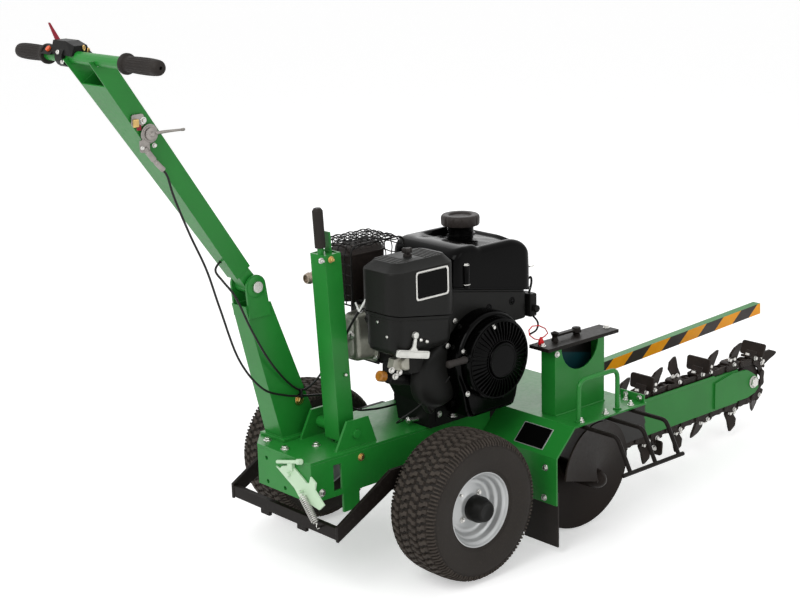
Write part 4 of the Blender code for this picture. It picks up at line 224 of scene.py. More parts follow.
def hazard_look():
    """Green angle bar with slanted stripes of orange and dark grey on its near face."""
    first_stripe, pitch, orange_wide, slope, paint_from = 0.666, 0.144, 0.074, -1.25, 0.56
    # Paler green along the edges as a painted highlight.
    made = finish_look("hazard_paint", GREEN, 0.38, waves=0.00005, worn=GREEN_EDGE_HIGHLIGHT, specular=0.3)
    tree, green, place, axes = base_of(made)
    along = maths(tree, "ADD", axes["X"], maths(tree, "MULTIPLY", axes["Z"], slope))
    lap = maths(tree, "WRAP", maths(tree, "SUBTRACT", along, first_stripe + ORIGIN.x), pitch, 0.0)
    tone = ranged(tree, noise(tree, place, 30.0), 0.3, 0.7)
    orange = mixed(tree, tone, (0.9, 0.33, 0.0), (0.98, 0.4, 0.003))
    grey = mixed(tree, tone, (0.022, 0.017, 0.014), (0.034, 0.026, 0.022))
    stripes = mixed(tree, maths(tree, "LESS_THAN", lap, orange_wide), grey, orange)
    facing = joined(tree, "ShaderNodeSeparateXYZ", i0=joined(tree, "ShaderNodeTexCoord").outputs["Normal"])
    near = maths(tree, "LESS_THAN", facing.outputs["Y"], -0.5)
    past = maths(tree, "GREATER_THAN", axes["X"], ORIGIN.x + paint_from)
    return over(made, maths(tree, "MULTIPLY", near, past), green, stripes)


def part_black(name, edge, side):
    """Green paint on one side of a place along the machine and black on the other, with a paler green
    painted highlight along the edges. On the chassis box the black, ahead of the place, is painted shade
    for the deep shade under the wing with the dark auger and chain in it; on the boom the black runs
    towards its rear.
    """
    made = finish_look(name, GREEN, 0.34, waves=0.00006, wave_scale=90, worn=GREEN_EDGE_HIGHLIGHT, specular=0.3)
    tree, green, place, axes = base_of(made)
    ragged = ranged(tree, noise(tree, place, 60.0), 0.3, 0.7, -0.004, 0.004)
    start, soft = ORIGIN.x + edge, 0.003 * side
    # Black on one side of the place: painted shade on the chassis box; on the boom, black towards its rear.
    share = ranged(tree, maths(tree, "ADD", axes["X"], ragged), start - soft, start + soft, 1.0, 0.0)
    black = mixed(tree, noise(tree, place, 12.0), (0.007, 0.006, 0.005), (0.012, 0.01, 0.008))
    return over(made, share, green, black)


def tower_wall_shade_look():
    """The inside of the tower: a dark blue-green low down, which is painted shade on its green paint, and
    black under the top plate.
    """
    slope, edge_x, edge_z, soft = 0.22, 0.3825, 0.418, 0.0015
    # Painted shade: the blue-green stands for the green paint as it looks in shade.
    made = finish_look("tower_wall_painted_shade", (0.004, 0.04, 0.048), 0.5, specular=0.15)
    tree, shaded_green, place, axes = base_of(made)
    high = maths(tree, "ADD", axes["Z"], maths(tree, "MULTIPLY", axes["X"], slope))
    edge = edge_z + slope * (ORIGIN.x + edge_x)
    return over(made, ranged(tree, high, edge - soft, edge + soft), shaded_green, (0.006, 0.005, 0.005))


def finish(slot, name, color, roughness, metallic=0.0, **more):
    return finish_look(name, color, roughness, metallic, **more), slot


LOOKS = {
    # The green and pale green paints are paler along their edges as a painted highlight.
    "green": finish("green", "green_paint", GREEN, 0.34, waves=0.00006, wave_scale=90, worn=GREEN_EDGE_HIGHLIGHT,
        specular=0.3, coat=0.04),
    "pale_green": finish("pale_green", "pale_green_paint", (0.54, 0.73, 0.51), 0.36, vary=0.06,
        waves=0.00004, worn=(0.6, 0.8, 0.6), coat=0.1),
    "hazard": (hazard_look(), "hazard"),
    "black_paint": finish("black_paint", "black_paint", (0.009, 0.0068, 0.0058), 0.42, specular=0.1,
        vary=0.2, waves=0.00005, worn=(0.06, 0.055, 0.05), dust=(0.045, 0.04, 0.035)),
    "silver": finish("silver", "silver_paint", (0.5, 0.51, 0.51), 0.34, 0.55, vary=0.05, grain=0.00002,
        worn=(0.7, 0.7, 0.7)),
    "steel": finish("steel", "bright_steel", (0.62, 0.61, 0.58), 0.28, 1.0, patch=60,
        worn=(0.8, 0.8, 0.78)),
    "brass": finish("steel", "gold_zinc", (0.62, 0.42, 0.16), 0.32, 1.0, vary=0.15, patch=60),
    "dull_steel": finish("steel", "dull_steel", (0.3, 0.28, 0.26), 0.45, 0.9, vary=0.2, patch=50,
        grain=0.00004),
    "chain": finish("chain", "chain_metal", (0.0165, 0.0112, 0.0088), 0.42, 0.1, specular=0.15, vary=0.35,
        patch=40, worn=(0.16, 0.15, 0.14), dust=(0.07, 0.06, 0.05)),
    "engine_block": finish("engine_block", "engine_casting", (0.005, 0.005, 0.0048), 0.5, specular=0.12,
        vary=0.2, patch=20, grain=0.00015, grain_scale=500),
    "alloy": finish("rocker_alloy", "cast_alloy", (0.26, 0.265, 0.22), 0.36, 0.55, vary=0.15, patch=20,
        grain=0.0001, grain_scale=500, worn=(0.4, 0.4, 0.38)),
    "rubber": finish("rubber", "grip_rubber", (0.02, 0.0165, 0.0145), 0.62, specular=0.2, vary=0.12,
        patch=30, grain=0.00003, grain_scale=1500, edge=0.0006),
    "tyre": finish("tyre", "tyre_rubber", (0.026, 0.022, 0.019), 0.72, specular=0.2, patch=14,
        grain=0.00005, dust=(0.075, 0.065, 0.055), edge=0.0008),
    "tread": finish("tyre", "tread_rubber", (0.05, 0.041, 0.034), 0.8, specular=0.2, vary=0.25, patch=60,
        grain=0.00008, dust=(0.13, 0.11, 0.09), edge=0.0008),
    "black_plastic": finish("black_plastic", "black_plastic", (0.0075, 0.0075, 0.007), 0.44, specular=0.12,
        vary=0.08, patch=12, grain=0.00004, grain_scale=1600),
    "sleeve": finish("cable_sleeve", "cable_sleeve", (0.009, 0.009, 0.0085), 0.4, specular=0.25, patch=30,
        edge=0),
    "gloss_black": finish("gloss_black", "gloss_black", (0.0008, 0.0008, 0.0008), 0.14, vary=0.15,
        rough_vary=0.03, waves=0.00006, specular=0.07),
    "red": finish("red", "red_plastic", (0.24, 0.006, 0.02), 0.36, specular=0.3, vary=0.12, patch=30),
    "orange": finish("orange", "orange_plastic", (0.72, 0.1, 0.02), 0.38, patch=60),
    "bright_red": finish("red", "lanyard_red", (0.62, 0.006, 0.012), 0.36, patch=30, specular=0.3),
    # The inside of the tower, in painted shade.
    "tower_wall_shade": (tower_wall_shade_look(), "black_paint"),
    "amber": finish("amber", "amber_plastic", (0.42, 0.16, 0.015), 0.3, vary=0.25, patch=60, coat=0.2),
    "moulded": finish("black_plastic", "moulded_cover", (0.0098, 0.0098, 0.009), 0.42, specular=0.13,
        vary=0.08, patch=10, grain=0.00004, grain_scale=1400, worn=(0.1, 0.1, 0.09), worn_share=0.3),
    "knob": finish("black_plastic", "knob_plastic", (0.024, 0.02, 0.0185), 0.5, specular=0.22, patch=20,
        grain=0.00003, grain_scale=1500),
    "cap": finish("black_plastic", "cap_plastic", (0.03, 0.0245, 0.0225), 0.5, specular=0.22, patch=20,
        grain=0.00003, grain_scale=1500, dust=(0.11, 0.1, 0.09)),
    "net": finish("black_paint", "net_wire", (0.006, 0.0055, 0.005), 0.5, specular=0.2, vary=0.2, patch=60,
        edge=0),
    "hot_metal": finish("black_paint", "muffler_coat", (0.016, 0.0115, 0.0095), 0.5, specular=0.25,
        vary=0.3, patch=24, grain=0.00008, grain_scale=700, dust=(0.075, 0.05, 0.04)),
    "hot_steel": finish("steel", "outlet_steel", (0.34, 0.28, 0.22), 0.38, 0.9, vary=0.3, patch=60,
        grain=0.00003),
    "bright_cast": finish("steel", "bright_casting", (0.66, 0.66, 0.62), 0.36, 0.75, vary=0.08, patch=60,
        grain=0.0001, grain_scale=420, worn=(0.8, 0.8, 0.76)),
    "pale_cast": finish("rocker_alloy", "pale_casting", (0.42, 0.41, 0.35), 0.42, 0.5, vary=0.15, patch=40,
        grain=0.0001, grain_scale=500),
    "auger_black": finish("black_paint", "auger_paint", (0.0125, 0.0088, 0.007), 0.4, vary=0.2,
        waves=0.00005, worn=(0.05, 0.04, 0.035), specular=0.1),
    # The boom is black towards its rear; the chassis box is black ahead of x 0.27, painted shade under the
    # wing.
    "part_boom": (part_black("boom_paint", 0.775, 1), "green"),
    "box_with_painted_shade": (part_black("box_green_and_painted_shade", 0.27, -1), "green"),
    "badge": finish("gloss_black", "blank_plate", (0.001, 0.001, 0.001), 0.35, specular=0.06, patch=30),
    "white_tie": finish("black_plastic", "white_nylon", (0.8, 0.8, 0.78), 0.45, vary=0.04, patch=60),
}


MM = 0.001
BENCH = bmesh.new()
# Edges sharper than this are eased on pieces with a bevel.
EASED_OVER = math.radians(28)
NEAR, FAR, BACK, AHEAD, UP = (0, -1, 0), (0, 1, 0), (-1, 0, 0), (1, 0, 0), (0, 0, 1)


def piece(name, look, stands_for=None, body="chassis", bevel=0, segments=3, crease=35):
    """What lies on the bench as a piece of the machine that moves with a body."""
    bmesh.ops.recalc_face_normals(BENCH, faces=BENCH.faces)
    bmesh.ops.scale(BENCH, verts=BENCH.verts, vec=(MM, MM, MM))
    bmesh.ops.translate(BENCH, verts=BENCH.verts, vec=ORIGIN)
    mesh = bpy.data.meshes.new(name)
    BENCH.to_mesh(mesh)
    BENCH.clear()
    mesh.shade_smooth()
    mesh.set_sharp_from_angle(angle=math.radians(crease))
    made = bpy.data.objects.new(name, mesh)
    bpy.context.scene.collection.objects.link(made)
    material, slot = LOOKS[look]
    mesh.materials.append(material)
    if bevel:
        step = made.modifiers.new("edges", "BEVEL")
        step.width = bevel * MM
        step.segments = segments
        step.limit_method = "ANGLE"
        step.angle_limit = EASED_OVER
        made.modifiers.new("normals", "WEIGHTED_NORMAL").keep_sharp = True
    if body:
        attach(made, body)
    if stands_for:
        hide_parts(stands_for)
    return made


def turns(steps):
    return [math.radians(360 * i / steps) for i in range(steps)]


def polar(angle):
    return Vector((math.cos(angle), math.sin(angle)))


def in_space(point, axis, level):
    first, second = point
    return {"X": (level, first, second), "Y": (first, level, second), "Z": (first, second, level)}[axis]


def loft(rings, closed=False):
    """Skin over rings of equally many points, with the ends filled unless closed into a loop."""
    made = [[BENCH.verts.new(point) for point in ring] for ring in rings]
    pairs = list(zip(made, made[1:]))
    if closed:
        pairs.append((made[-1], made[0]))
    for first, second in pairs:
        for i in range(len(first)):
            j = (i + 1) % len(first)
            BENCH.faces.new((first[i], first[j], second[j], second[i]))
    if not closed:
        BENCH.faces.new(made[0])
        BENCH.faces.new(made[-1])


def prism(outline, axis, low, high):
    loft([[in_space(point, axis, level) for point in outline] for level in (low, high)])


def block(x, y, z):
    prism(((x[0], y[0]), (x[1], y[0]), (x[1], y[1]), (x[0], y[1])), "Z", z[0], z[1])


def lathe(profile, base, way, sides=40, turn=0.0):
    """A profile of (radius, height) points turned about the line from base along way."""
    facing = Vector(UP).rotation_difference(Vector(way)).to_matrix()
    rings = []
    for radius, height in profile:
        ring = []
        for i in range(1 if radius == 0 else sides):
            angle = 2 * math.pi * i / sides + turn
            point = Vector((radius * math.cos(angle), radius * math.sin(angle), height))
            ring.append(BENCH.verts.new(Vector(base) + facing @ point))
        rings.append(ring)
    for first, second in zip(rings, rings[1:] + rings[:1]):
        if len(first) == len(second) == 1:
            continue
        for i in range(sides):
            corners = (first[i % len(first)], first[(i + 1) % len(first)], second[(i + 1) % len(second)],
                second[i % len(second)])
            BENCH.faces.new(tuple(dict.fromkeys(corners)))


def rod(start, end, radius, sides=24, ease=0):
    along = Vector(end) - Vector(start)
    size = along.length
    profile = ((0, 0), (radius - ease, 0), (radius, ease), (radius, size - ease), (radius - ease, size),
        (0, size))
    lathe(profile if ease else ((0, 0), (radius, 0), (radius, size), (0, size)), start, along, sides)


def tube(points, radius, sides=10, closed=False):
    """A round bar along points. radius is a number, or one for each point."""
    points = [Vector(point) for point in points]
    radii = radius if isinstance(radius, (list, tuple)) else [radius] * len(points)
    across = (points[1] - points[0]).orthogonal().normalized()
    rings = []
    count = len(points)
    for i, point in enumerate(points):
        after = points[(i + 1) % count] if closed else points[min(i + 1, count - 1)]
        before = points[i - 1] if closed else points[max(i - 1, 0)]
        along = (after - before).normalized()
        across = (across - along * across.dot(along)).normalized()
        other = along.cross(across)
        ring = []
        for j in range(sides):
            angle = 2 * math.pi * j / sides
            ring.append(point + radii[i] * (math.cos(angle) * across + math.sin(angle) * other))
        rings.append(ring)
    loft(rings, closed)


def smooth(route, spacing):
    """Points about a spacing apart on a smooth curve through a route's points."""
    route = [Vector(point) for point in route]
    padded = [2 * route[0] - route[1]] + route + [2 * route[-1] - route[-2]]
    path = [route[0]]
    for a, b, c, d in zip(padded, padded[1:], padded[2:], padded[3:]):
        steps = max(1, round((c - b).length / spacing))
        for i in range(1, steps + 1):
            t = i / steps
            bow, twist = 2 * a - 5 * b + 4 * c - d, 3 * b - a - 3 * c + d
            path.append((2 * b + (c - a) * t + bow * t**2 + twist * t**3) / 2)
    return path


def bent(corners, radius, steps=8):
    """The corners' path with each inner corner rounded."""
    corners = [Vector(corner) for corner in corners]
    path = [corners[0]]
    for before, corner, after in zip(corners, corners[1:], corners[2:]):
        start = corner + (before - corner).normalized() * radius
        end = corner + (after - corner).normalized() * radius
        for i in range(steps + 1):
            t = i / steps
            path.append(start * (1 - t) ** 2 + corner * 2 * t * (1 - t) + end * t**2)
    return path + [corners[-1]]


def circle(x, z, radius, steps=24, start=0, end=360.0):
    turn = math.radians(end - start) / steps
    first = math.radians(start)
    count = steps if end - start == 360 else steps + 1
    return [(x + radius * math.cos(first + i * turn),
        z + radius * math.sin(first + i * turn)) for i in range(count)]


def rounded_box(low, high, radius, steps=6):
    """Points round a rectangle in two axes with rounded corners."""
    points = []
    corners = ((high[0] - radius, high[1] - radius, 0), (low[0] + radius, high[1] - radius, 90),
        (low[0] + radius, low[1] + radius, 180), (high[0] - radius, low[1] + radius, 270))
    for x, y, start in corners:
        points += circle(x, y, radius, steps, start, start + 90.001)
    return points


def bolt(point, way, size=6, tall=5, washer=1.45):
    """A hexagon head on a washer. size is half the width over its corners."""
    point, way = Vector(point), Vector(way).normalized()
    if washer:
        wide = size * washer
        lathe(((0, -0.4), (wide, -0.4), (wide, 1.1), (wide - 0.4, 1.5), (0, 1.5)), point, way, 20)
    head = ((0, 1), (size, 1), (size, tall), (size * 0.86, tall + 1), (0, tall + 1.2))
    lathe(head, point, way, 6, 0.3)


def nut_end(point, way, size=6):
    """A nut on a washer with a stub of thread."""
    bolt(point, way, size, 5.5)
    rod(Vector(point), Vector(point) + Vector(way).normalized() * 11, size * 0.55, 14, 0.6)


def weld(points, radius):
    """A bead with ripples along a line of points."""
    path = smooth(points, 2)
    ripples = [0.22 * math.sin(i * math.pi + 0.5) + 0.06 * math.sin(i * 2.3) for i in range(len(path))]
    tube(path, [radius * (1 + ripple) for ripple in ripples], 8)


def hoop(middle, level, radius, thick, steps=24, sides=8, axis="Y"):
    """A round bar bent into a ring across an axis."""
    tube([in_space(point, axis, level) for point in circle(*middle, radius, steps)], thick, sides, True)


def turned(rows, steps, wave, place):
    """A skin over rings. Each row is a radius, its share of the wave and a height."""
    rings = []
    for radius, share, height in rows:
        reaches = [(turn, radius + share * wave(turn)) for turn in turns(steps)]
        rings.append([place(reach * math.cos(turn), reach * math.sin(turn), height) for turn,
            reach in reaches])
    loft(rings)


def bolted(name, look, *rows, body="chassis"):
    for row in rows:
        bolt(*row)
    piece(name, look, body=body)


def cord(name, route, spacing, radius, sides=8, body="chassis"):
    tube(smooth(route, spacing), radius, sides)
    piece(name, "sleeve", body=body, crease=60)


def crown(y):
    """The tread's radius at a distance from the tyre's middle."""
    share = abs(y) / TYRE_HALF
    return TYRE_RADIUS - 0.5 - 10 * share**3.2 * (1.0 if share < 0.8 else 1 + 3 * (share - 0.8))


def lug(centre, outline, angle, y, deep):
    """One tread block: an outline of (y, arc) points, with sloping sides, standing on the carcass."""
    tops = []
    for shrink, drop in ((1.0, deep + 1), (0.86, 0)):
        ring = []
        for side, arc in outline:
            place_y = y + side * shrink
            radius = crown(place_y) - drop
            turn = angle + arc * shrink / TYRE_RADIUS
            ring.append(centre + Vector((radius * math.cos(turn), place_y, radius * math.sin(turn))))
        tops.append(ring)
    loft(tops)


def wheel(side, label):
    centre = Vector((0, side * WHEEL_Y, TYRE_RADIUS))
    body = f"wheel_{label}"
    half = [(crown(55.5 * step / 14) - LUG_DEEP, 55.5 * step / 14) for step in range(15)]
    half += [(150.5, 61.2), (147.5, 64.5), (144, 66.5), (140, 68), (133, 69), (124, 68.8), (115, 67.5),
        (106, 65), (98, 62.2), (93, 61.2), (90.5, 60), (89, 57.5), (84, 56), (83.8, 50)]
    profile = half + [(radius, -y) for radius, y in reversed(half[1:])]
    lathe(profile, centre, FAR, 120)
    for y in (-67.2, 67.2):
        hoop((0, TYRE_RADIUS), centre.y + y, 142.4, 0.8, 120, 6)
    piece(f"tyre_{label}_carcass", "tyre", f"tyre_{label}", body=body)

    wide, tall, step = 12.2, 5.2, 3
    pitch = 2 * math.pi / LUGS_ROUND
    for column, y in enumerate(LUG_COLUMNS):
        hand = 1 if column % 2 else -1
        outline = ((-wide, step - tall), (-2.5, step - tall), (2.5, -step - tall), (wide, -step - tall),
            (wide, -step + tall), (2.5, -step + tall), (-2.5, step + tall), (-wide, step + tall))
        outline = [(a, b * hand) for a, b in outline]
        for i in range(LUGS_ROUND):
            lug(centre, outline, (i + 0.5 * (column % 2)) * pitch, y, LUG_DEEP)
    for hand in (-1, 1):
        for i in range(LUGS_ROUND * 2):
            long = 7.5 if i % 2 else 6
            bar = ((-long, -2.4), (long, -2), (long, 2), (-long, 2.4))
            lug(centre, bar, (i + 0.25) * pitch / 2, hand * 60, 5)
    piece(f"tyre_{label}_tread", "tread", body=body)

    out = (0, side, 0)
    profile = ((80.8, 54.5), (82.2, 56.2), (84, 56), (84.6, 54.5), (84.6, -54.5), (83, -55.5), (80, -54.5),
        (79, -40), (70, -30), (69, 5), (64, 9), (54, 10), (30, 10), (30, -30), (12.8, -30), (12.8, 33.8),
        (26.2, 33.8), (27.8, 32.5), (27.8, 26), (30, 23.5), (44, 22.5), (50, 19), (56, 17.8), (60, 20),
        (62.2, 24), (64, 30), (67.2, 33), (70, 34.5), (71.6, 37), (72.8, 44), (74.5, 48), (78, 50),
        (79.7, 52))
    lathe(profile, centre, out, 96)
    piece(f"rim_{label}_pressed", "silver", f"rim_{label}", body=body, crease=50)

    valve = centre + Vector((-38, side * 21.5, 36))
    stem, end = valve + Vector((-4, side * 16, 4)), valve + Vector((-6, side * 24, 6))
    rod(valve, stem, 4.2, 16, 1)
    rod(stem, end, 3, 12, 0.6)
    for angle in (45, 225, 315):
        spot = polar(math.radians(angle)) * 36
        bolt(centre + Vector((spot.x, side * 23.5, spot.y)), out, 4.5, 4)
    piece(f"rim_{label}_valve", "steel", body=body)

    profile = ((0, 34.3), (28.2, 34.3), (29, 35.2), (29, 56), (28.2, 58), (23.2, 71.5), (22.2, 73.8),
        (20, 75.2), (16, 74.8), (15, 73.5), (0, 73))
    lathe(profile, centre, out, 48)
    piece(f"hub_cap_{label}_cover", "black_plastic", f"hub_cap_{label}", body=body, crease=60)


def chain_runs():
    """The chain's straight run, its turns round the tip and the head, and the way out on its two runs."""
    span = (TIP - HEAD).length
    tilt = math.atan2(TIP.y - HEAD.y, TIP.x - HEAD.x)
    lean = math.asin((HEAD_INSIDE - TIP_INSIDE) / span)
    run = math.sqrt(span**2 - (HEAD_INSIDE - TIP_INSIDE) ** 2)
    up, down = tilt + math.pi / 2 - lean, tilt - math.pi / 2 + lean
    return run, (up - down) * TIP_OUTSIDE, (2 * math.pi - up + down) * HEAD_OUTSIDE, up, down


def on_chain(distance, height):
    """A place at a height over the chain's outer line: its x and z and the way out as an angle."""
    run, turn, back, up, down = chain_runs()
    distance %= 2 * run + turn + back
    tip, head = TIP_OUTSIDE + height, HEAD_OUTSIDE + height
    if distance <= run:
        return HEAD + polar(up) * head + polar(up - math.pi / 2) * distance, up
    distance -= run
    if distance <= turn:
        angle = up - distance / TIP_OUTSIDE
        return TIP + polar(angle) * tip, angle
    distance -= turn
    if distance <= run:
        return TIP + polar(down) * tip + polar(down - math.pi / 2) * distance, down
    angle = down - (distance - run) / HEAD_OUTSIDE
    return HEAD + polar(angle) * head, angle


def chain_spot(distance):
    """For a distance along the chain, two functions of (ahead, side, height): a place and a direction."""
    point, angle = on_chain(distance, 0)

    def way(forward, side, height):
        flat = polar(angle - math.pi / 2) * forward + polar(angle) * height
        return Vector((flat.x, side, flat.y))

    def place(forward, side, height):
        return Vector((point.x, BOOM_Y, point.y)) + way(forward, side, height)

    return place, way


def side_plate(first, second, low, high, wide):
    """A figure-of-eight plate between two pins of the chain."""
    a, b = Vector((first.x, first.z)), Vector((second.x, second.z))
    along = (b - a).normalized()
    angle = math.degrees(math.atan2(along.y, along.x))
    outline = circle(b.x, b.y, wide, 8, angle - 90, angle + 90)
    middle = (a + b) / 2
    side = Vector((-along.y, along.x)) * wide * 0.8
    outline.append(tuple(middle + side))
    outline += circle(a.x, a.y, wide, 8, angle + 90, angle + 270)
    outline.append(tuple(middle - side))
    prism(outline, "Y", low, high)


def digging_chain():
    run, turn, back = chain_runs()[:3]
    length = 2 * run + turn + back
    links = 2 * round(length / LINK_PITCH / 2)
    pins = []
    for i in range(links):
        spot, _ = on_chain(i * length / links, -CHAIN_THICK / 2)
        pins.append(Vector((spot.x, 0, spot.y)))
    for i, pin in enumerate(pins):
        start, wide = (10, 9.6) if i % 2 == 0 else (13.2, 9)
        for side in (-1, 1):
            low, high = sorted((BOOM_Y + side * start, BOOM_Y + side * (start + 3)))
            side_plate(pin, pins[(i + 1) % links], low, high, wide)
        for reach, radius, sides, ease in ((10, 6.8, 14, 0), (17.2, 3.8, 10, 0.6)):
            rod((pin.x, BOOM_Y - reach, pin.z), (pin.x, BOOM_Y + reach, pin.z), radius, sides, ease)
    piece("chain_links", "chain", "digging_chain", crease=30)
    chain_tools(scoop, tooth)
    piece("chain_teeth", "chain", crease=30, bevel=0.8, segments=2)
    chain_tools(scoop_bolts, tooth_bolts)
    piece("chain_bolts", "steel")


def chain_tools(scoop_part, tooth_part):
    """Every scoop and tooth along the chain, or their bolts, each made by its function."""
    for i, kind in enumerate(CHAIN_TOOLS):
        spot = FIRST_TOOL + i * TOOL_PITCH
        if kind == "s":
            scoop_part(*chain_spot(spot))
            tooth_part(*chain_spot(spot + SCOOP_TOOTH_SHIFT), -1)
        else:
            tooth_part(*chain_spot(spot + TOOTH_SHIFT), 1 if kind == "f" else -1)


def scoop(place, way):
    """A rounded cross plate on its bracket."""
    low, high = 6, 43.5
    outline = rounded_box((-38, low), (38, high), 7, 4)
    loft([[place(forward + 0.1 * (h - low), s, h) for s, h in outline] for forward in (0, 5.5)])
    foot = [(-22, 0), (14, 0), (14, 8), (6, 20), (0, 20), (-6, 8), (-22, 6)]
    loft([[place(f, s, h - 1) for f, h in foot] for s in (-BRACKET_HALF, BRACKET_HALF)])


def scoop_bolts(place, way):
    for side in (-16, 16):
        bolt(place(8.5, side, 26), way(1, 0, 0.1), 5.2, 4)
    bolt(place(-14, 0, 5.5), way(0, 0, 1), 6, 4.5, 1.2)
    bolt(place(0, -BRACKET_HALF, 1.5), NEAR, 5.5, 4.5, 1.2)


def tooth(place, way, hand):
    """A leaf-shaped blade that leans to one side, on its bracket."""
    path = ((0, 0, 0, 17), (0.3, 10, 14, 14.5), (0.7, 6, 30, 16.5), (1, 12, 46, 12.5),
        (1.15, 22, 56.5, 3.5))
    rings = []
    for share, forward, height, wide in path:
        thick = 4.2 if height < 50 else 2.2
        side = TOOTH_LEAN * hand * share / 1.15
        corners = ((-wide, -thick), (wide, -thick), (wide, thick), (-wide, thick))
        rings.append([place(forward + a, side + b, height) for a, b in corners])
    loft(rings)
    foot = [(-20, -2), (20, -2), (20, 4), (12, 8), (-12, 8), (-20, 4)]
    loft([[place(f, s, h) for f, h in foot] for s in (-BRACKET_HALF, BRACKET_HALF)])


def tooth_bolts(place, way, hand):
    for forward in (-8.5, 8.5):
        bolt(place(forward, TOOTH_LEAN * hand * 0.2 - 4.2, 12), NEAR, 5.8, 4.5, 1.2)
    bolt(place(0, -BRACKET_HALF, 0.5), NEAR, 5, 4, 1.2)


def auger():
    """A smooth flight wound round its closed tube, with a lip along its outer edge and a weld at each end
    of the flight.
    """
    radius, tube_radius, pitch = 135.8, 23.8, 118
    near_y, far_y, flight_y, wound = -352.5, -155.5, -348, 1.6
    steps = 168
    rings = []
    for i in range(steps + 1):
        gone = wound * i / steps
        angle = math.radians(165 - 360 * gone)
        y = flight_y + pitch * gone
        ring = []
        for r, shift in ((tube_radius - 2, -1), (radius - 3, -1), (radius - 1, -1.3), (radius, -0.6),
                (radius, 0.4), (radius - 1, 1), (tube_radius - 2, 1)):
            spot = HEAD + polar(angle) * r
            ring.append((spot.x, y + shift * 2.4, spot.y))
        rings.append(ring)
    loft(rings)
    long = far_y - near_y
    profile = ((0, 2), (6, 3), (12, 7), (17, 13), (21, 22), (tube_radius, 36))
    profile += ((tube_radius, long - 1), (tube_radius - 1, long), (15.5, long), (15.5, 26), (0, 26))
    lathe(profile, (HEAD.x, near_y, HEAD.y), FAR, 48)
    for turned in (0, wound):
        angle = math.radians(165 - 360 * turned)
        out = Vector((math.cos(angle), 0, math.sin(angle)))
        foot = Vector((HEAD.x, flight_y + pitch * turned, HEAD.y))
        weld([foot + out * reach for reach in (tube_radius, tube_radius + 4)], 3)
    piece("auger_flight", "auger_black", "auger", body="auger_drive", crease=40)


def framed(low, high, radius, count=96):
    """Points evenly spaced round a rectangle with rounded corners."""
    corners = rounded_box(low, high, radius, 8)
    closed = corners + corners[:1]
    spans = [math.dist(a, b) for a, b in zip(closed, closed[1:])]
    step = sum(spans) / count
    points, index, gone = [], 0, 0
    for i in range(count):
        while gone + spans[index] < i * step:
            gone += spans[index]
            index += 1
        share = (i * step - gone) / spans[index]
        a, b = closed[index], closed[index + 1]
        points.append((a[0] + (b[0] - a[0]) * share, a[1] + (b[1] - a[1]) * share))
    return points


def shell(levels, axis="Z", count=96):
    """A skin over rounded rectangles. Each level is a low and a high corner, a corner radius and a place on
    the axis, which is a number or a function of the point."""
    rings = []
    for low, high, radius, place in levels:
        ring = []
        for point in framed(low, high, radius, count):
            ring.append(in_space(point, axis, place(*point) if callable(place) else place))
        rings.append(ring)
    loft(rings)


def inset(low, high, by):
    return (low[0] + by, low[1] + by), (high[0] - by, high[1] - by)


def insets(low, high, rows):
    """Levels for shell, from rows of inset, corner radius and place."""
    return [(*inset(low, high, by), radius, place) for by, radius, place in rows]


def lifted(place, by):
    return lambda x, y: place(x, y) + by


def between(first, second, share):
    return tuple(a + (b - a) * share for a, b in zip(first, second))


def eased_step(value, low, high):
    share = min(1.0, max(0.0, (value - low) / (high - low)))
    return share * share * (3 - 2 * share)


def cleaner_seam(x, y=0):
    """The height of the joint between the air cleaner's cover and its base."""
    return 594 - 29 * (x - COVER_LOW[0]) / (COVER_HIGH[0] - COVER_LOW[0])


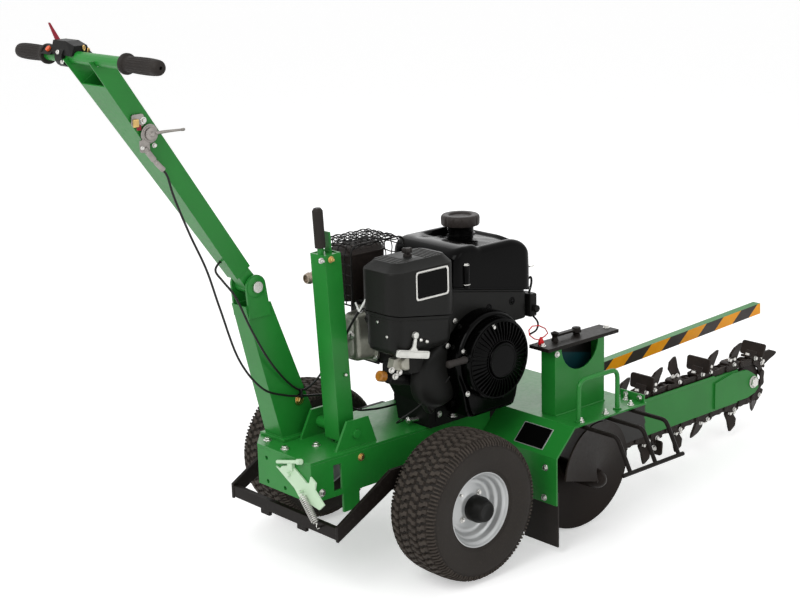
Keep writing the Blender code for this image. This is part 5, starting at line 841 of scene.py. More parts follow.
def air_cleaner():
    low, high = COVER_LOW, COVER_HIGH
    rows = ((4, 26, 0.6), (0.8, 29, 0.6), (0, 30, 1.4), (0, 30, 10))
    levels = insets(low, high, [(by, radius, lifted(cleaner_seam, rise)) for by, radius, rise in rows])
    for share, z in ((0, 680), (0.01, 682.5), (0.05, 685), (0.92, 697.4), (0.99, 699.2), (1.05, 700)):
        corners = between(low, CROWN_LOW, share), between(high, CROWN_HIGH, share)
        levels.append((*corners, 30 - 10 * share, z))
    shell(levels, count=120)
    for x in (-80, -70.5, -61, -51.5, -1, 8.5, 18, 27.5, 37, 46.5):
        ribs = ((x - 1.9, 699.4), (x - 1.3, 701.2), (x + 1.3, 701.2), (x + 1.9, 699.4))
        near = -162 + 10 * max(0, (-62 - x) / 20)
        prism(ribs, "Y", near, -86)
    block((-46, -6), (-150, -100), (699.4, 700.3))
    piece("air_cleaner_cover_shell", "moulded", "air_cleaner_cover", crease=30)

    outer = ((-56, 617), (39, 681))
    rows = ((0, -189), (0, -191.2), (0.8, -191.8), (3, -191.8), (3.8, -190.8))
    shell(insets(*outer, [(by, 6, y) for by, y in rows]), "Y", 48)
    piece("cleaner_badge_frame", "steel", crease=25)
    shell([(*inset(*outer, 4.5), 4, y) for y in (-189.5, -191.2)], "Y", 48)
    prism(((-50, 622.5), (-12, 622.5), (-4, 630), (-50, 630)), "Y", -191.6, -191)
    piece("cleaner_badge_plate", "badge")

    low, high = inset(COVER_LOW, COVER_HIGH, 6)
    levels = [
        ((low[0] + 16, low[1] + 12), (high[0] - 4, high[1]), 20, 499.5),
        ((low[0] + 6, low[1] + 4), (high[0] - 1, high[1]), 23, 506),
        (low, high, 24, 518),
    ]
    rows = ((0, 24, -10), (-2, 26, -8.5), (-2, 26, -2.2), (2, 24, -1))
    levels += insets(low, high, [(by, radius, lifted(cleaner_seam, rise)) for by, radius, rise in rows])
    shell(levels)
    shell([((-30, -140), (50, -82), 12, z) for z in (440, 503)], count=48)
    rod((65.5, -150, 556), (65.5, -150, 520), 6, 16, 1)
    piece("air_cleaner_base_body", "moulded", "air_cleaner_base", crease=35)

    rows = ((9.5, 0, 700.3), (9.5, 0, 705), (6, 0.5, 706.2), (6.2, 5, 707.5), (6.8, 5.8, 710),
        (6.8, 5.6, 716), (5.8, 4.5, 718), (3, 1, 718.6))
    turned(rows, 48, lambda turn: max(0, math.cos(3 * turn)) ** 0.7, lambda x, y, z: (x - 20, y - 125, z))
    piece("air_cleaner_knob_wing", "knob", "air_cleaner_knob", body="cleaner_knob", crease=40)


def tank_floor(x, y=0):
    """The height of the tank's sloping underside."""
    return 612 - 47 * (x - TANK_LOW[0]) / (TANK_HIGH[0] - TANK_LOW[0])


def tank_fall(x):
    """How far the tank's rounded front and rear ends drop below its top."""
    front = min(max(0, x - 262), 72.9) / 73
    rear = min(max(0, 128 - x), 47.9) / 48
    return 60 * (1 - math.sqrt(1 - front**2)) + 40 * (1 - math.sqrt(1 - rear**2))


def tank_rim(x, y):
    """The lower near rim along the front part of the tank."""
    return 8 * eased_step(x, 148, 172) * eased_step(-y, 60, 140)


def fuel_tank():
    low, high = TANK_LOW, TANK_HIGH
    ease = 14
    rows = [(6, 18, 0), (1, 22, 0), (0, 24, 1.5), (0, 24, 5), (1.8, 24, 6.2)]
    rows = [(by, radius, lifted(tank_floor, rise)) for by, radius, rise in rows]
    rows.append((1.8, 24, lambda x, y: 0.5 * (tank_floor(x) + TANK_TOP - ease - tank_fall(x))))

    def top(down):
        return lambda x, y: TANK_TOP - tank_fall(x) - tank_rim(x, y) - down(x, y)

    for angle in range(0, 91, 15):
        by = 1.8 + ease * (1 - math.cos(math.radians(angle)))
        drop = ease * (1 - math.sin(math.radians(angle)))
        rows.append((by, 26, top(lambda x, y, d=drop: d)))
    for by, deep in ((20, 0), (24, 2), (30, 10), (34, 13), (42, 14), (70, 13)):
        dip = top(lambda x, y, d=deep: d * eased_step(x, 150, 185) * (1 - eased_step(x, 296, 318)))
        rows.append((by, 22, dip))
    shell(insets(low, high, rows) + [((160, -60), (255, -48), 5, dip)], count=160)
    profile = [(0, 660), (36, 676), (34, 688), (30, 690)]
    for z in (691.5, 695, 698.5, 702):
        profile += [(30, z), (30.6, z + 0.6), (30.6, z + 2.2), (28.8, z + 2.8)]
    profile += [(28.8, 706.5), (0, 706.5)]
    lathe(profile, (CAP_X, CAP_Y, 0), UP, 48)
    lathe(((0, 0), (8.5, 0), (9.5, 50), (8.5, 52), (0, 52.5)), (121.2, -156.5, 608), UP, 24)
    piece("fuel_tank_shell", "gloss_black", "fuel_tank", crease=38)

    bolt((121.2, -157.5, 660.5), UP, 6.2, 3)
    hoop((121.2, -156.5), 617, 10, 1.2, axis="Z")
    block((335.2, 349), (-146, -128), (615, 618))
    piece("fuel_tank_fixings", "steel", bevel=0.5, segments=2)

    rows = ((40.5, 0, 707.3), (43.2, 1.1, 708), (44.5, 2.2, 710.5), (45, 2.2, 724), (44, 1.32, 728.5),
        (41.5, 0, 731.2), (38.5, 0, 732), (29, 0, 731.6), (26.2, 0, 730), (25, 0, 727.2), (10, 0, 726.8))
    turned(rows, 168, lambda turn: -max(0, math.cos(14 * turn) - 0.45) / 0.55, lambda x, y,
        z: (CAP_X + x, CAP_Y + y, z))
    piece("fuel_cap_fluted", "cap", "fuel_cap", body="cap", crease=40)


def cowl():
    rows = ((2, 16, 500), (0, 18, 502), (0, 18, lifted(tank_floor, -7)), (2.2, 17, lifted(tank_floor, -6)),
        (2.2, 17, lifted(tank_floor, -0.5)))
    shell(insets((72.5, -150), (325, -32.5), rows), count=120)
    piece("cowl_shell", "moulded", "cowl", crease=35)
    for x, z in ((198.4, 546.2), (271.7, 548.3)):
        profile = ((5.2, 0), (8.5, -0.4), (9.4, 0), (8.5, 1), (6.8, 0.8), (5.5, -0.6))
        lathe(profile, (x, -150, z), NEAR, 28)
        lathe(((0, 0), (5.5, 0), (5, 0.4), (0, 0.4)), (x, -150.2, z), NEAR, 20)
    piece("cowl_dimples", "gloss_black", crease=40)


def fan_housing():
    centre = Vector((CRANK_X, 0, HOUSING_Z))
    outline = circle(0, 0, HOUSING_RADIUS, 60, -28, 208)
    outline += [(-86, -68), (-76, -110), (-68, -126), (-58, -129)]
    outline += [(58, -129), (68, -126), (76, -110), (86, -68)]
    rings = []
    for scale, y in ((1.0, -115.5), (1.0, -178), (0.994, -185), (0.975, -190.5), (0.945, -193.5),
            (0.925, -194), (0.915, -192.5), (0.9, -192.5), (0.3, -192.5)):
        rings.append([centre + Vector((x * scale, y, z * scale)) for x, z in outline])
    loft(rings)
    piece("fan_housing_shell", "gloss_black", "fan_housing", crease=40)

    rows = [(r, r / 10, y) for r, y in ((80, -115.2), (79, -134), (70, -149), (54, -154.5), (30, -156))]
    turned(rows, 60, lambda turn: math.cos(2 * (turn - 0.9)), lambda x, z, y: (x + 63, y, z + 425))
    corners = ((20, 500), (75, 500), (110, 496), (110, 400), (30, 330), (10, 360))
    loft([[(x, y, z) for x, z in corners] for y in (-114.5, -138)])
    piece("blower_lobe", "moulded", bevel=6, segments=4, crease=40)

    face = -195.3
    profile = ((0, 0), (93, 0), (93, 15), (91.8, 19), (89, 20.5), (86.8, 20), (85, 17.5), (60, 25),
        (44, 27.2), (41.5, 27.8), (40.5, 30), (39.6, 33.2), (37.5, 34.2), (35.2, 33.8), (34, 32.6), (0, 33))
    lathe(profile, (CRANK_X, face, HOUSING_Z), NEAR, 96)
    rod((70.6, -207.3, 465), (112, -207.3, 465), 7.8, 24, 1)
    lathe(((4, 0), (9.8, 0), (10.5, 2), (9.8, 4), (4, 4)), (75, -207.3, 465), AHEAD, 24)
    piece("recoil_cover_body", "gloss_black", "recoil_cover", crease=38)

    for turn in turns(44):
        out = Vector((math.cos(turn), 0, math.sin(turn)))
        side = Vector((-math.sin(turn), 0, math.cos(turn)))
        rings = []
        for radius, rise, wide in ((45, 24.8, 1.2), (62, 24.2, 1.7), (84.5, 17.6, 2.4)):
            foot = Vector((CRANK_X, face - rise, HOUSING_Z)) + out * radius
            tip = foot + Vector(NEAR) * 4.4
            narrow = wide * 0.6
            rings.append((foot + side * wide, tip + side * narrow, tip - side * narrow, foot - side * wide))
        loft(rings)
    for radius, rise in ((44, 29.2), (86.2, 20.8)):
        hoop((CRANK_X, HOUSING_Z), face - rise, radius, 1.3, 72)
    piece("recoil_fins", "gloss_black", bevel=0.4, segments=2, crease=30)

    spots = ((149, -214, 523.5), (76.2, -193.6, 478.5), (86.1, -193.6, 379.6), (245, -193.6, 395),
        (60, -161, 489))
    bolted("starter_fixings", "steel", *[(spot, NEAR, 4.5, 3.5) for spot in spots])

    profile = ((0, 0), (6.2, 0), (7.8, 1.4), (8.5, 4.5), (8.2, 10), (7.4, 28), (8, 46), (8.3, 52),
        (7.2, 54.5), (0, 54.8))
    lathe(profile, (15, -207.3, 465), AHEAD, 28)
    rod((69, -207.3, 465), (90, -207.3, 465), 2.2, 12)
    piece("starter_grip_handle", "knob", "starter_grip", body="starter_pull", crease=50)


def wavy(path, across, phase, spacing, height=1.8):
    """A wire's path pushed out and in as it passes over and under the wires it crosses."""
    gone, points = 0, []
    for i, point in enumerate(path):
        along = path[min(i + 1, len(path) - 1)] - path[max(i - 1, 0)]
        out = along.cross(Vector(across)).normalized()
        points.append(point + out * height * math.sin(math.pi * gone / spacing + phase))
        if i + 1 < len(path):
            gone += (path[i + 1] - point).length
    return points


def finer(path, spacing=4.5):
    points = []
    for a, b in zip(path, path[1:]):
        steps = max(1, round((b - a).length / spacing))
        points += [a + (b - a) * i / steps for i in range(steps)]
    return points + [path[-1]]


def net_wire(corners, across, odd):
    """One woven wire of the muffler's net."""
    path = wavy(finer(bent(corners, NET_BEND, 6)), across, math.pi * (odd % 2), NET_CELL)
    tube(path, 1.4, 6)


def muffler_net():
    low, high = Vector((-98.5, -29, 586.5)), Vector((56.5, 96.5, 720))
    for i in range(6):
        y = low.y + (high.y - 16 - low.y) * i / 5
        top = high.z - 4 * (i == 0)
        net_wire(((low.x, y, low.z), (low.x, y, top), (high.x, y, top), (high.x, y, low.z)), FAR, i)
    for i in range(8):
        x = low.x + 16 + (high.x - low.x - 32) * i / 7
        net_wire(((x, low.y, high.z), (x, high.y, high.z), (x, high.y, low.z)), AHEAD, i + 1)
    for i in range(6):
        z = low.z + 22.5 * i
        net_wire(((low.x, low.y, z), (low.x, high.y, z), (high.x, high.y, z), (high.x, low.y, z)), UP, i)
    for y, z in ((low.y, high.z), (high.y, low.z)):
        corners = ((low.x, low.y, low.z), (low.x, y, z), (high.x, y, z), (high.x, low.y, low.z))
        tube(bent(corners, NET_BEND, 8), 1.9, 8)
    piece("muffler_net", "net", "muffler_guard", crease=60)


def muffler():
    rows = ((10, 26, 580.5), (2, 34, 584), (0, 36, 590), (0, 36, 684), (-2.2, 38, 684.6), (-2.2, 38, 688),
        (1, 36, 688.8), (4, 34, 695.5), (10, 30, 700.5), (20, 22, 703.2), (33, 10, 704))
    shell(insets((-84.5, 10.5), (49.5, 89.5), rows))
    ridge = ((0, 15, 695), (0.1, 19, 699.5), (0.3, 30, 703), (0.5, 50, 704), (0.7, 70, 703),
        (0.9, 81, 699.5), (1, 85, 695))
    for i in range(7):
        path = [(16.5 * i - 66 + 4 * math.sin(share * math.pi), y, z) for share, y, z in ridge]
        tube(smooth(path, 6), 2.1, 8)
    piece("muffler_drum", "hot_metal", "muffler", crease=40)

    folds = [(10.5 if i in (0, 12) else 13.5 - 1.2 * (i % 2), 4.6 * i) for i in range(13)]
    lathe([(0, 0)] + folds + [(8.5, 55.2), (8, 50), (0, 50)], (-83.5, 81, 636.7), BACK, 32)
    piece("muffler_outlet", "hot_steel", crease=25)


def rocker():
    rows = ((1, 16, -40.5), (0, 16, -41.5), (0, 16, -47), (0.8, 16, -47.8), (5, 17, -48.2), (6.2, 18, -50),
        (8, 18, -86), (10, 18, -92), (15, 16, -96), (20, 14, -97.2), (22, 13, -96.2), (30, 4, -96.2))
    shell(insets((-47.5, 450), (22, 574), rows), "X", 72)
    piece("rocker_cover_casting", "alloy", "rocker_cover", crease=40)
    small = [((-47.8, y, z), BACK, 4.6, 3.5, 1.2) for y, z in ((-43, 462), (-43, 562), (17.5, 462))]
    bolted("rocker_bolts", "steel", ((-96.2, -20, 520), BACK, 6.2, 3.5), *small)


def spark_plug():
    path = smooth(((-36, -66, 545), (-70, -76, 552), (-94, -84, 560), (-104, -87, 573)), 4)
    count = len(path)
    radii = [8.5 + 5 * math.sin(math.pi * min(1, i / (count - 1) * 1.15)) for i in range(count)]
    tube(path, radii, 20)
    lathe(((0, 0), (12.8, 0), (13.5, 3), (13.5, 10), (11, 13), (0, 13.5)), (-60, -73.5, 550),
        (1, 0.24, -0.15), 24)
    piece("plug_boot", "black_plastic", crease=50)
    route = ((-104, -87, 570), (-108, -86, 586), (-110, -76, 592), (-111, -64, 583), (-111, -31.4, 542.2),
        (-107, -10, 515), (-95, 10, 490), (-60, 24, 470), (-35, 26, 465))
    cord("plug_lead", route, 6, 3, 12)
    tube(smooth(((-113.5, -57, 603), (-114, -64, 593), (-115, -70, 585.5)), 3), 2.1, 8)
    path = [between((-115, -70, 585.5), (-114, -94.5, 616.5), i / 8) for i in range(9)]
    tube(path, [2.1 + 1.2 * i / 8 for i in range(9)], 8)
    hoop((-110.5, 587), -71, 4.2, 1.4, 16)
    piece("lead_tie", "white_tie", crease=60)


def choke_handle():
    turn = math.radians(13.7)
    pivot = Vector((-58.5, 0, 543))

    def lean(x, y, z):
        return pivot + Vector((x * math.cos(turn) + z * math.sin(turn), y,
            z * math.cos(turn) - x * math.sin(turn)))

    rows = ((1.2, -186.2), (0, -187), (0, -191.5), (0.6, -192.2), (2.6, -192.2), (3.4, -190.8))
    bar = ((-47, -49.5), (47, -32.5))
    loft([[lean(x, y, z) for x, z in framed(*inset(*bar, by), 4.5, 60)] for by, y in rows])
    stem = ((-13, -34), (-5, -26), (-3.2, -6), (-4.5, 0), (4.5, 0), (3.2, -6), (5, -26), (13, -34))
    loft([[lean(x, y, z) for x, z in stem] for y in (-191, -187.2)])
    lathe(((0, 0), (7, 0), (7.8, 1), (7, 7.5), (3.5, 8.5), (0, 8.8)), lean(0, -184, 0), NEAR, 24)
    piece("choke_handle", "bright_cast", "choke_lever", body="choke", bevel=0.4, segments=2, crease=35)

    for x, z in ((-44, 530), (-26.2, 522.6)):
        lathe(((0, 0), (3.5, 0), (4.8, 3), (4.4, 6), (2.5, 8.5), (0, 9)), (x, -183, z), NEAR, 18)
    tube(smooth(((64, -150, 533.5), (30, -150, 536.5), (12, -152, 529), (4, -158, 520), (-10, -176, 517),
        (-26.2, -187, 521)), 4), 1.4, 8)
    rod((30, -150.5, 536.2), (66, -150.5, 533.4), 3, 14, 0.6)
    for x in (30, 35, 40):
        hoop((-150.5, 535.8), x, 4, 0.9, 16, 6, "X")
    bolt((92.6, -150.5, 537.2), NEAR, 4.5, 4)
    piece("carburettor_linkage", "steel", crease=40)

    outline = ((-68, 456), (-62, 476), (-40, 479), (-18, 470), (-12, 456), (-30, 450), (-50, 447))
    prism(outline, "Y", -122, -102)
    lathe(((0, 0), (14, 0), (15, 2), (15, 12), (13, 14), (0, 14)), (-34, -118, 462), NEAR, 28)
    piece("carburettor_flange", "pale_cast", bevel=1.5)
    large = [((x, -120, z), (-0.3, -1, 0), 5, 5) for x, z in ((-70, 453.5), (-48, 444), (-60, 437))]
    small = [((-111.8, y, z), BACK, 3.5, 2, 0) for y, z in ((-129, 573), (-158, 545))]
    bolted("carburettor_bolts", "steel", *large, *small)


def crankcase_details():
    """Feet, drain stud, ground wire and the other small things round the engine's lower part."""
    for x, y in ((58, -100), (140, 85), (262, -100), (262, 85)):
        rod((x, y, 290.2), (x, y, 306), 14, 28, 2)
    for x in (60, 120, 180, 240):
        prism(((x, 300), (x + 5, 300), (x + 5, 350), (x, 350)), "Y", -118.5, -114)
    piece("crankcase_feet", "engine_block", bevel=1)
    for x, y, z in ((58, -100, 306), (108.5, -121, 306), (262, -100, 306), (140, 85, 306)):
        bolt((x, y, z), UP, 7, 6)
    rod((23, -66, 304), (48, -76, 304.5), 5.2, 6, 0.8)
    rod((46, -75, 304.5), (70, -84, 305), 3.6, 16, 0.6)
    bolt((23, -66, 304), (-0.9, 0.35, 0), 6.8, 4, 1.2)
    bolt((45, -115.2, 345), NEAR, 5, 4)
    bolt((72, -115.2, 318), NEAR, 5, 4)
    piece("crankcase_bolts", "steel")
    shell(insets((72, -92), (98, -64), ((0, 3, 290.2), (0, 3, 318), (1, 3, 320))), count=40)
    piece("drain_block", "green")
    route = ((90, -190, 440), (71.2, -168, 428.9), (59.4, -156, 408.4), (36.2, -150, 388.5),
        (13.4, -138, 370), (-7.8, -120, 348), (-25, -102, 330), (-30, -88, 318), (-20, -76, 310),
        (10, -64, 306))
    cord("ground_wire", route, 6, 1.6)
    rows = ((2, 4, 500), (0, 4, 502), (0, 4, 552), (2, 4, 554))
    shell(insets((325.5, -156), (348, -118), rows), count=48)
    rod((337, -158, 520), (337, -168, 520), 8.5, 20, 1.5)
    route = ((337, -140, 553), (345, -140, 575), (338, -145, 592), (330, -140, 585))
    tube(smooth(route, 5), 2.8, 8)
    route = ((338, -150, 502), (345, -160, 485), (335, -165, 470), (318, -160, 462))
    tube(smooth(route, 5), 2.4, 8)
    piece("engine_switch", "black_plastic", bevel=0.8, crease=40)
    start = Vector((-57.7, -100, 430))
    way = (start - Vector((20, -100, 404))).normalized()
    rows = ((10, 0, 0.3), (13.8, 0, 1), (14, 0, 6), (11.2, 0.36, 8), (11.4, 1.2, 10), (11.4, 1.2, 30),
        (10.4, 0.6, 33.2), (8.5, 0, 34))
    facing = Vector(UP).rotation_difference(way).to_matrix()
    turned(rows, 72, lambda turn: -(math.cos(12 * turn) > 0), lambda *spot: start + facing @ Vector(spot))
    piece("oil_plug_cap", "black_plastic", "oil_plug", body="oil_filler_plug", crease=40)
    profile = ((0, 18.5), (11.6, 18.5), (12.2, 19.2), (12.2, 32.8), (11.2, 34.5), (8, 35.2), (0, 35.2))
    lathe(profile, start, way, 12)
    piece("oil_plug_end", "amber", body="oil_filler_plug", bevel=0.8)
    profile = ((0, -30), (15, -30), (15, -2), (14, -0.3), (0, -0.3))
    lathe(profile, start, way, 32)
    piece("oil_neck", "black_plastic", crease=40)


def grips():
    """Ribbed rubber grips with a collar at the inner end and a hole in the outer one."""
    for label, start, way in (("near", 85 - 139, -1), ("far", 85 + 139, 1)):
        rows = ((15, 0, 0), (19.6, 0, 0.4), (20.5, 0, 2), (20.5, 0, 6.8), (19.6, 0, 9), (16, 0, 11),
            (15.3, 0, 14), (15.5, 0.33, 22), (15.7, 1.1, 26), (16.3, 1.1, 50), (16.5, 1.1, 75),
            (16, 1.1, 96), (15.7, 0.33, 100), (15.3, 0, 106), (14.3, 0, 112), (12, 0, 116), (8.5, 0, 117.8),
            (3.4, 0, 117.8), (3, 0, 112))
        turned(rows, 120, lambda turn: -(math.cos(20 * turn) > 0.2), lambda x, z,
            reach: (BAR_X + x, start + way * reach, BAR_Z + z))
        piece(f"grip_{label}_ribbed", "rubber", f"grip_{label}", body="handle", crease=40)


def pod_fittings():
    """Screws, two brass rings and a short lead on the control housing."""
    spots = ((-671.5, 156.5, 1180), (-669, 146, 1161.5))
    screws = [(spot, (-1, -0.3, 0.3), 3.6, 2.4, 1.25) for spot in spots]
    bolted("housing_screws", "steel", *screws, body="handle")
    for x, z, radius in ((-630, 1181, 5.8), (-640, 1188, 4.8)):
        path = [(x + radius * 0.4 * math.cos(t), 110.3, z + radius * math.sin(t)) for t in turns(24)]
        tube(path, 1.5, 8, True)
    piece("housing_rings", "brass", body="handle", crease=60)
    route = ((-630, 115, 1185), (-624, 100, 1170), (-620, 90, 1150), (-625, 87, 1130))
    cord("housing_lead", route, 4, 2.2, body="handle")


def throttle_control():
    """Stacked discs, a screw, a block and a stepped cable adjuster on the column, with the lever's arm."""
    x, z, back = THROTTLE_SPOT
    profile = ((0, 0), (19, 0), (19.8, 0.8), (19.8, 3), (18.8, 4), (17, 4.4), (16.8, 6.2), (15, 6.6),
        (0, 6.6))
    lathe(profile, (x, back, z), NEAR, 48)
    prism(rounded_box((x - 40, z + 18), (x - 12, z + 42), 5), "Y", back - 4.5, back)
    prism(rounded_box((x - 24, z - 36), (x - 2, z - 10), 5), "Y", back - 4.5, back)
    for a, b, radius in (((-14, -26), (-6, -38), 4.8), ((-9, -34), (6, -54), 6), ((5, -53), (10, -59), 4.6),
            ((9, -58), (26.5, -76.5), 5.6)):
        rod((x + a[0], back - 4.2, z + a[1]), (x + b[0], back - 4, z + b[1]), radius, 20, 0.8)
    piece("throttle_body", "dull_steel", "throttle_base", body="handle", bevel=0.5, segments=2, crease=35)
    block((x - 39, x - 27), (back - 10, back - 4.5), (z + 17, z + 33))
    piece("throttle_block", "brass", body="handle", bevel=1, segments=2)
    block((x - 31, x - 22), (back - 9, back - 4.5), (z + 10, z + 21))
    piece("throttle_stop", "red", body="handle", bevel=1, segments=2)
    rows = ((-14, 28.5, 4.8, 4.5, 1.5), (8, -24, 4.2, 4, 1.2), (-20, -26, 3.6, 3, 1.2))
    screws = [((x + a, back - 4.5, z + b), NEAR, *sizes) for a, b, *sizes in rows]
    bolted("throttle_screws", "steel", *screws, body="handle")
    hub = back - 6.8
    lathe(((0, 0), (12.5, 0), (13, 0.6), (13, 3.4), (11.8, 4.2), (0, 4.2)), (x, hub, z), NEAR, 36)
    bolt((x, hub - 4.2, z), NEAR, 5, 3, 1.2)
    path = smooth(((x + 10, hub - 2, z), (x + 30, hub - 2.2, z + 1), (x + 72, hub - 2.2, z)), 6)
    tube(path, [3.6 - 1.3 * i / 11 for i in range(len(path))], 12)
    rod((x + 70.5, hub - 4.2, z), (x + 79, hub - 2, z), 3.1, 14, 0.8)
    piece("throttle_arm", "dull_steel", "throttle_lever", body="throttle", crease=35)


def cables():
    """The two cables, round and smooth, running from the handle to the engine."""
    for name, route, start, end in (("throttle_cable", THROTTLE_ROUTE, (-364, 34, 510), (-434, 34, 718)),
            ("stop_cable", STOP_ROUTE, (-318, 46, 562), (-353, 86, 720))):
        tube(smooth(route, 6), 2.5, 14)
        made = piece(f"{name}_sleeve", "sleeve", name, body=None, crease=60)
        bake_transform(made)


def latch_spring():
    """A close-wound spring with a hook at each end."""
    top, low = Vector((-301.2, -76.7, 223.6)), Vector((-301.2, -133.7, 159))
    along = (low - top).normalized()
    across = Vector(AHEAD)
    other = along.cross(across)
    first, last = top + along * 8, low - along * 10
    path = [top + other * 3.5 - along * 2, top - other * 2 - along * 3, top - other * 4 + along * 3]
    curls, points = 16, 14
    for i in range(curls * points + 1):
        share = i / (curls * points)
        turn = 2 * math.pi * i / points
        radius = 7.8 * min(1.0, 0.35 + 10 * share, 0.35 + 10 * (1 - share))
        round_it = math.cos(turn) * across + math.sin(turn) * other
        path.append(first + (last - first) * share + radius * round_it)
    path += [low - other * 4 - along * 4, low - other * 3.5 + along * 2, low + other * 3 + along * 3]
    tube(path, 1.1, 8)
    piece("spring_coil", "steel", "latch_spring", body="latch", crease=80)


def frame_fixings():
    """Bolts, nuts and weld beads on the frame, each on the plate that it holds."""
    for x, y in ((-268, 14), (-206.3, -17.7), (-260, 86)):
        bolt((x, y, 290.2), UP, 6.8, 5.8)
    for x, y in ((312.7, -325), (393.9, -325), (481.1, -325), (505, -290)):
        nut_end((x, y, 290.2), UP, 5.5)
    for y, z in ((-306.4, 202), (-302.8, 130)):
        bolt((215, y, z), BACK, 5.5, 5)
    for x in (282, 496):
        bolt((x, -236, 456.3), UP, 5.5, 4.8)
    bolt((306, -257.2, 436), NEAR, 5, 4)
    bolt((SIDE_BOLT[0], -100.2, SIDE_BOLT[1]), NEAR, 6.2, 5)
    piece("frame_bolts", "steel")
    gold = ((-187, 62, 373), (0.2, -1, 0), 8.8, 7), ((GOLD_BOLT[0], -100.2, GOLD_BOLT[1]), NEAR, 6.2, 5)
    bolted("gold_bolts", "brass", *gold)
    weld(((-236, 61.2, 291.2), (-200, 61.2, 291.2), (-160, 61.2, 291.2), (-131, 61.2, 291.2)), 2.8)
    weld(((-236.8, 63, 291.2), (-236.8, 90, 291.2), (-236.8, 123.01, 291.2)), 2.8)
    for y in (-83.5, -76.5):
        weld(((-204, y, 290.8), (-150, y, 290.8), (-91, y, 290.8)), 2.2)
    weld(((300.5, -257.8, 290.8), (380, -257.8, 290.8), (464, -257.8, 290.8)), 2.4)
    piece("frame_welds", "green", crease=60)
    for side, y in ((-1, 60.5), (1, 121.5)):
        lathe(((9, 0), (23.5, 0), (24, 0.8), (22.5, 1.6), (13.5, 1.8), (9, 1.6)), (-290, y, 651),
            (0, side, 0), 40)
    piece("hinge_rings", "green", crease=40)
    prism(((760, 182), (1050, 182), (1050, 189.3), (756, 189.3)), "Y", -122.6, -119.6)
    prism(((516, 286), (520, 286), (520, 308), (516, 308)), "Y", -335, -262)
    piece("edge_lips", "green", bevel=0.8, segments=2)
    bolted("lip_bolts", "steel", *[((515.8, y, 298.5), BACK, 5.2, 4.2) for y in (-322, -280)])
    bolted("tip_nut", "steel", ((TIP.x, -126.2, TIP.y), NEAR, 14.6, 7.2, 1.15))
    path = [(-187 + 3.5 * math.cos(t), 53.5 + 7.5 * math.cos(t),
        388 + 8.5 * math.sin(t)) for t in turns(24)]
    tube(path, 2.4, 8, True)
    block((-190, -183), (56, 61.5), (374, 387))
    piece("cable_clip", "black_plastic", crease=40)
    # The tower's inner wall, in painted shade.
    block((304.5, 460.5), (-220.5, -219.5), (296, 444.5))
    piece("tower_inner_wall_shaded", "tower_wall_shade", bevel=0.3, segments=2)
    nut_end((-203, -55.6, 711), NEAR, 4.6)
    bolt((-150, -55.6, 447.5), (0, -1, 0.15), 4, 6, 0)
    piece("post_bolts", "steel", body="post")
    nut_end((-176, -55.6, 709), NEAR, 5.2)
    piece("post_gold_bolt", "brass", body="post")


def data_plate():
    """A bare black plate with a silver border, on the wing's slanted face."""
    corners = [Vector(corner) for corner in PLATE_CORNERS]
    out = Vector((-1, 0, 1)).normalized()
    middle = sum(corners, Vector()) / 4
    rows = (("border", 1, 0, 0.8, "silver"), ("face", 0.94, 0.6, 1.1, "badge"))
    for name, grow, low, high, look in rows:
        outline = [middle + (corner - middle) * grow for corner in corners]
        loft([[point + out * level for point in outline] for level in (low, high)])
        piece(f"data_plate_{name}", look)


WORLD_LIGHT = 0.62
LIT_SPOT = Vector((0, 0, 0.4))
LAMPS = {
    "key": ((-3.2, -0.6, 3.0), 2.2, 62),
    "front_fill": ((0.4, -4.2, 2.2), 2.8, 26),
    "far_fill": ((2.6, 3.2, 2.6), 2.8, 26),
}


def in_view(tree):
    """1 for a ray from the camera, a mirror or a clear body, and 0 for one that only lights."""
    rays = tree.nodes.new("ShaderNodeLightPath").outputs
    seen = maths(tree, "MAXIMUM", rays["Is Camera Ray"], rays["Is Glossy Ray"])
    return maths(tree, "MAXIMUM", seen, rays["Is Transmission Ray"])


def lights():
    """A surround that looks white and lights the machine a little less, and three soft lamps."""
    world = bpy.data.worlds.new("studio")
    bpy.context.scene.world = world
    world.use_nodes = True
    tree = world.node_tree
    tree.nodes.clear()
    soft = joined(tree, "ShaderNodeBackground", Color=(1, 1, 1, 1), Strength=WORLD_LIGHT)
    white = joined(tree, "ShaderNodeBackground", Color=(1, 1, 1, 1), Strength=1.0)
    mix = joined(tree, "ShaderNodeMixShader", i0=in_view(tree), i1=soft.outputs[0], i2=white.outputs[0])
    joined(tree, "ShaderNodeOutputWorld", Surface=mix.outputs[0])
    for name, (spot, size, power) in LAMPS.items():
        data = bpy.data.lights.new(name, "AREA")
        data.size = size
        data.energy = power
        lamp = bpy.data.objects.new(name, data)
        lamp.location = spot
        lamp.rotation_euler = (LIT_SPOT - Vector(spot)).to_track_quat("-Z", "Y").to_euler()
        bpy.context.scene.collection.objects.link(lamp)


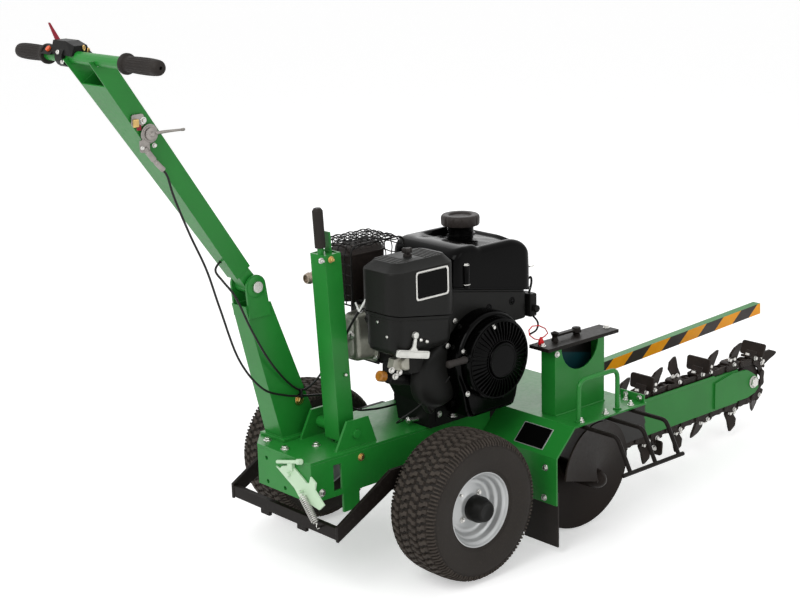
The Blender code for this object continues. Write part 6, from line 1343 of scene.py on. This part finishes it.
def floor():
    """A wide white floor just under the wheels, which glows a little where it is in view."""
    bm = bmesh.new()
    bmesh.ops.create_grid(bm, x_segments=2, y_segments=2, size=40)
    mesh = bpy.data.meshes.new("studio_floor")
    bm.to_mesh(mesh)
    bm.free()
    made = bpy.data.objects.new("studio_floor", mesh)
    made.location = (0, 0, -0.0005)
    bpy.context.scene.collection.objects.link(made)
    material, tree = node_tree("studio_floor")
    shader = tree.nodes["Principled BSDF"]
    place = joined(tree, "ShaderNodeTexCoord").outputs["Object"]
    tone = mixed(tree, noise(tree, place, 0.8), tuple(c * 0.99 for c in WHITE_FLOOR), WHITE_FLOOR)
    tree.links.new(tone, shader.inputs["Base Color"])
    shader.inputs["Roughness"].default_value = 0.9
    shader.inputs["Specular IOR Level"].default_value = 0.1
    glow = maths(tree, "MULTIPLY", in_view(tree), FLOOR_GLOW)
    lit = joined(tree, "ShaderNodeEmission", Color=(1, 1, 1, 1), Strength=glow)
    both = joined(tree, "ShaderNodeAddShader", i0=shader.outputs[0], i1=lit.outputs[0])
    tree.links.new(both.outputs[0], tree.nodes["Material Output"].inputs["Surface"])
    mesh.materials.append(material)


def camera():
    data = bpy.data.cameras.new("camera")
    data.lens = 76.77
    data.sensor_width = 36
    data.clip_end = 200
    made = bpy.data.objects.new("camera", data)
    aim = math.radians(-41.2205)
    pitch = math.radians(90 - 14.613)
    roll = math.radians(-1.5489)
    turn = Matrix.Rotation(aim, 4, "Z") @ Matrix.Rotation(pitch, 4, "X") @ Matrix.Rotation(roll, 4, "Z")
    place = ORIGIN + Vector((-2.3917, -2.8039, 1.5358))
    made.matrix_world = Matrix.Translation(place) @ turn
    bpy.context.scene.collection.objects.link(made)
    bpy.context.scene.camera = made


CARRIED_OVER = {
    "green": "deck_plate wing_plate tower_cover grab_handle lower_column upper_column handlebar lever_post"
        " release_tab drive_guard post_pin",
    "part_boom": "boom_bar",
    "box_with_painted_shade": "chassis_box",
    "pale_green": "latch_plate",
    "hazard": "hazard_bar",
    "black_paint": "carriage_frame guard_bars tower_top_plate auger muffler muffler_guard",
    "steel": "axle hinge_pin throttle_lever latch_spring choke_lever",
    "dull_steel": "head_shaft clutch_drum throttle_base",
    "chain": "tip_idler",
    "rubber": "grip_near grip_far post_grip mud_flap",
    "black_plastic": "air_cleaner_base air_cleaner_cover air_cleaner_knob cowl recoil_cover starter_grip"
        " control_housing fuel_cap",
    "gloss_black": "fan_housing fuel_tank",
    "engine_block": "crankcase",
    "alloy": "rocker_cover",
    "red": "stop_lever",
    "bright_red": "lanyard",
    "orange": "stop_button",
    "amber": "oil_plug",
    "sleeve": "throttle_cable stop_cable",
}


def carried_over():
    """Materials of the nodes whose own shape is shown, and of some that a piece stands for."""
    for look, names in CARRIED_OVER.items():
        for name in names.split():
            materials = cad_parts[name].data.materials
            materials.clear()
            materials.append(LOOKS[look][0])


bpy.context.scene.view_settings.view_transform = "Standard"
camera()
floor()
lights()
carried_over()
for wheel_side, wheel_label in ((-1, "near"), (1, "far")):
    wheel(wheel_side, wheel_label)
digging_chain()
auger()
air_cleaner()
fuel_tank()
cowl()
fan_housing()
muffler_net()
muffler()
rocker()
spark_plug()
choke_handle()
crankcase_details()
grips()
pod_fittings()
throttle_control()
cables()
latch_spring()
frame_fixings()
data_plate()
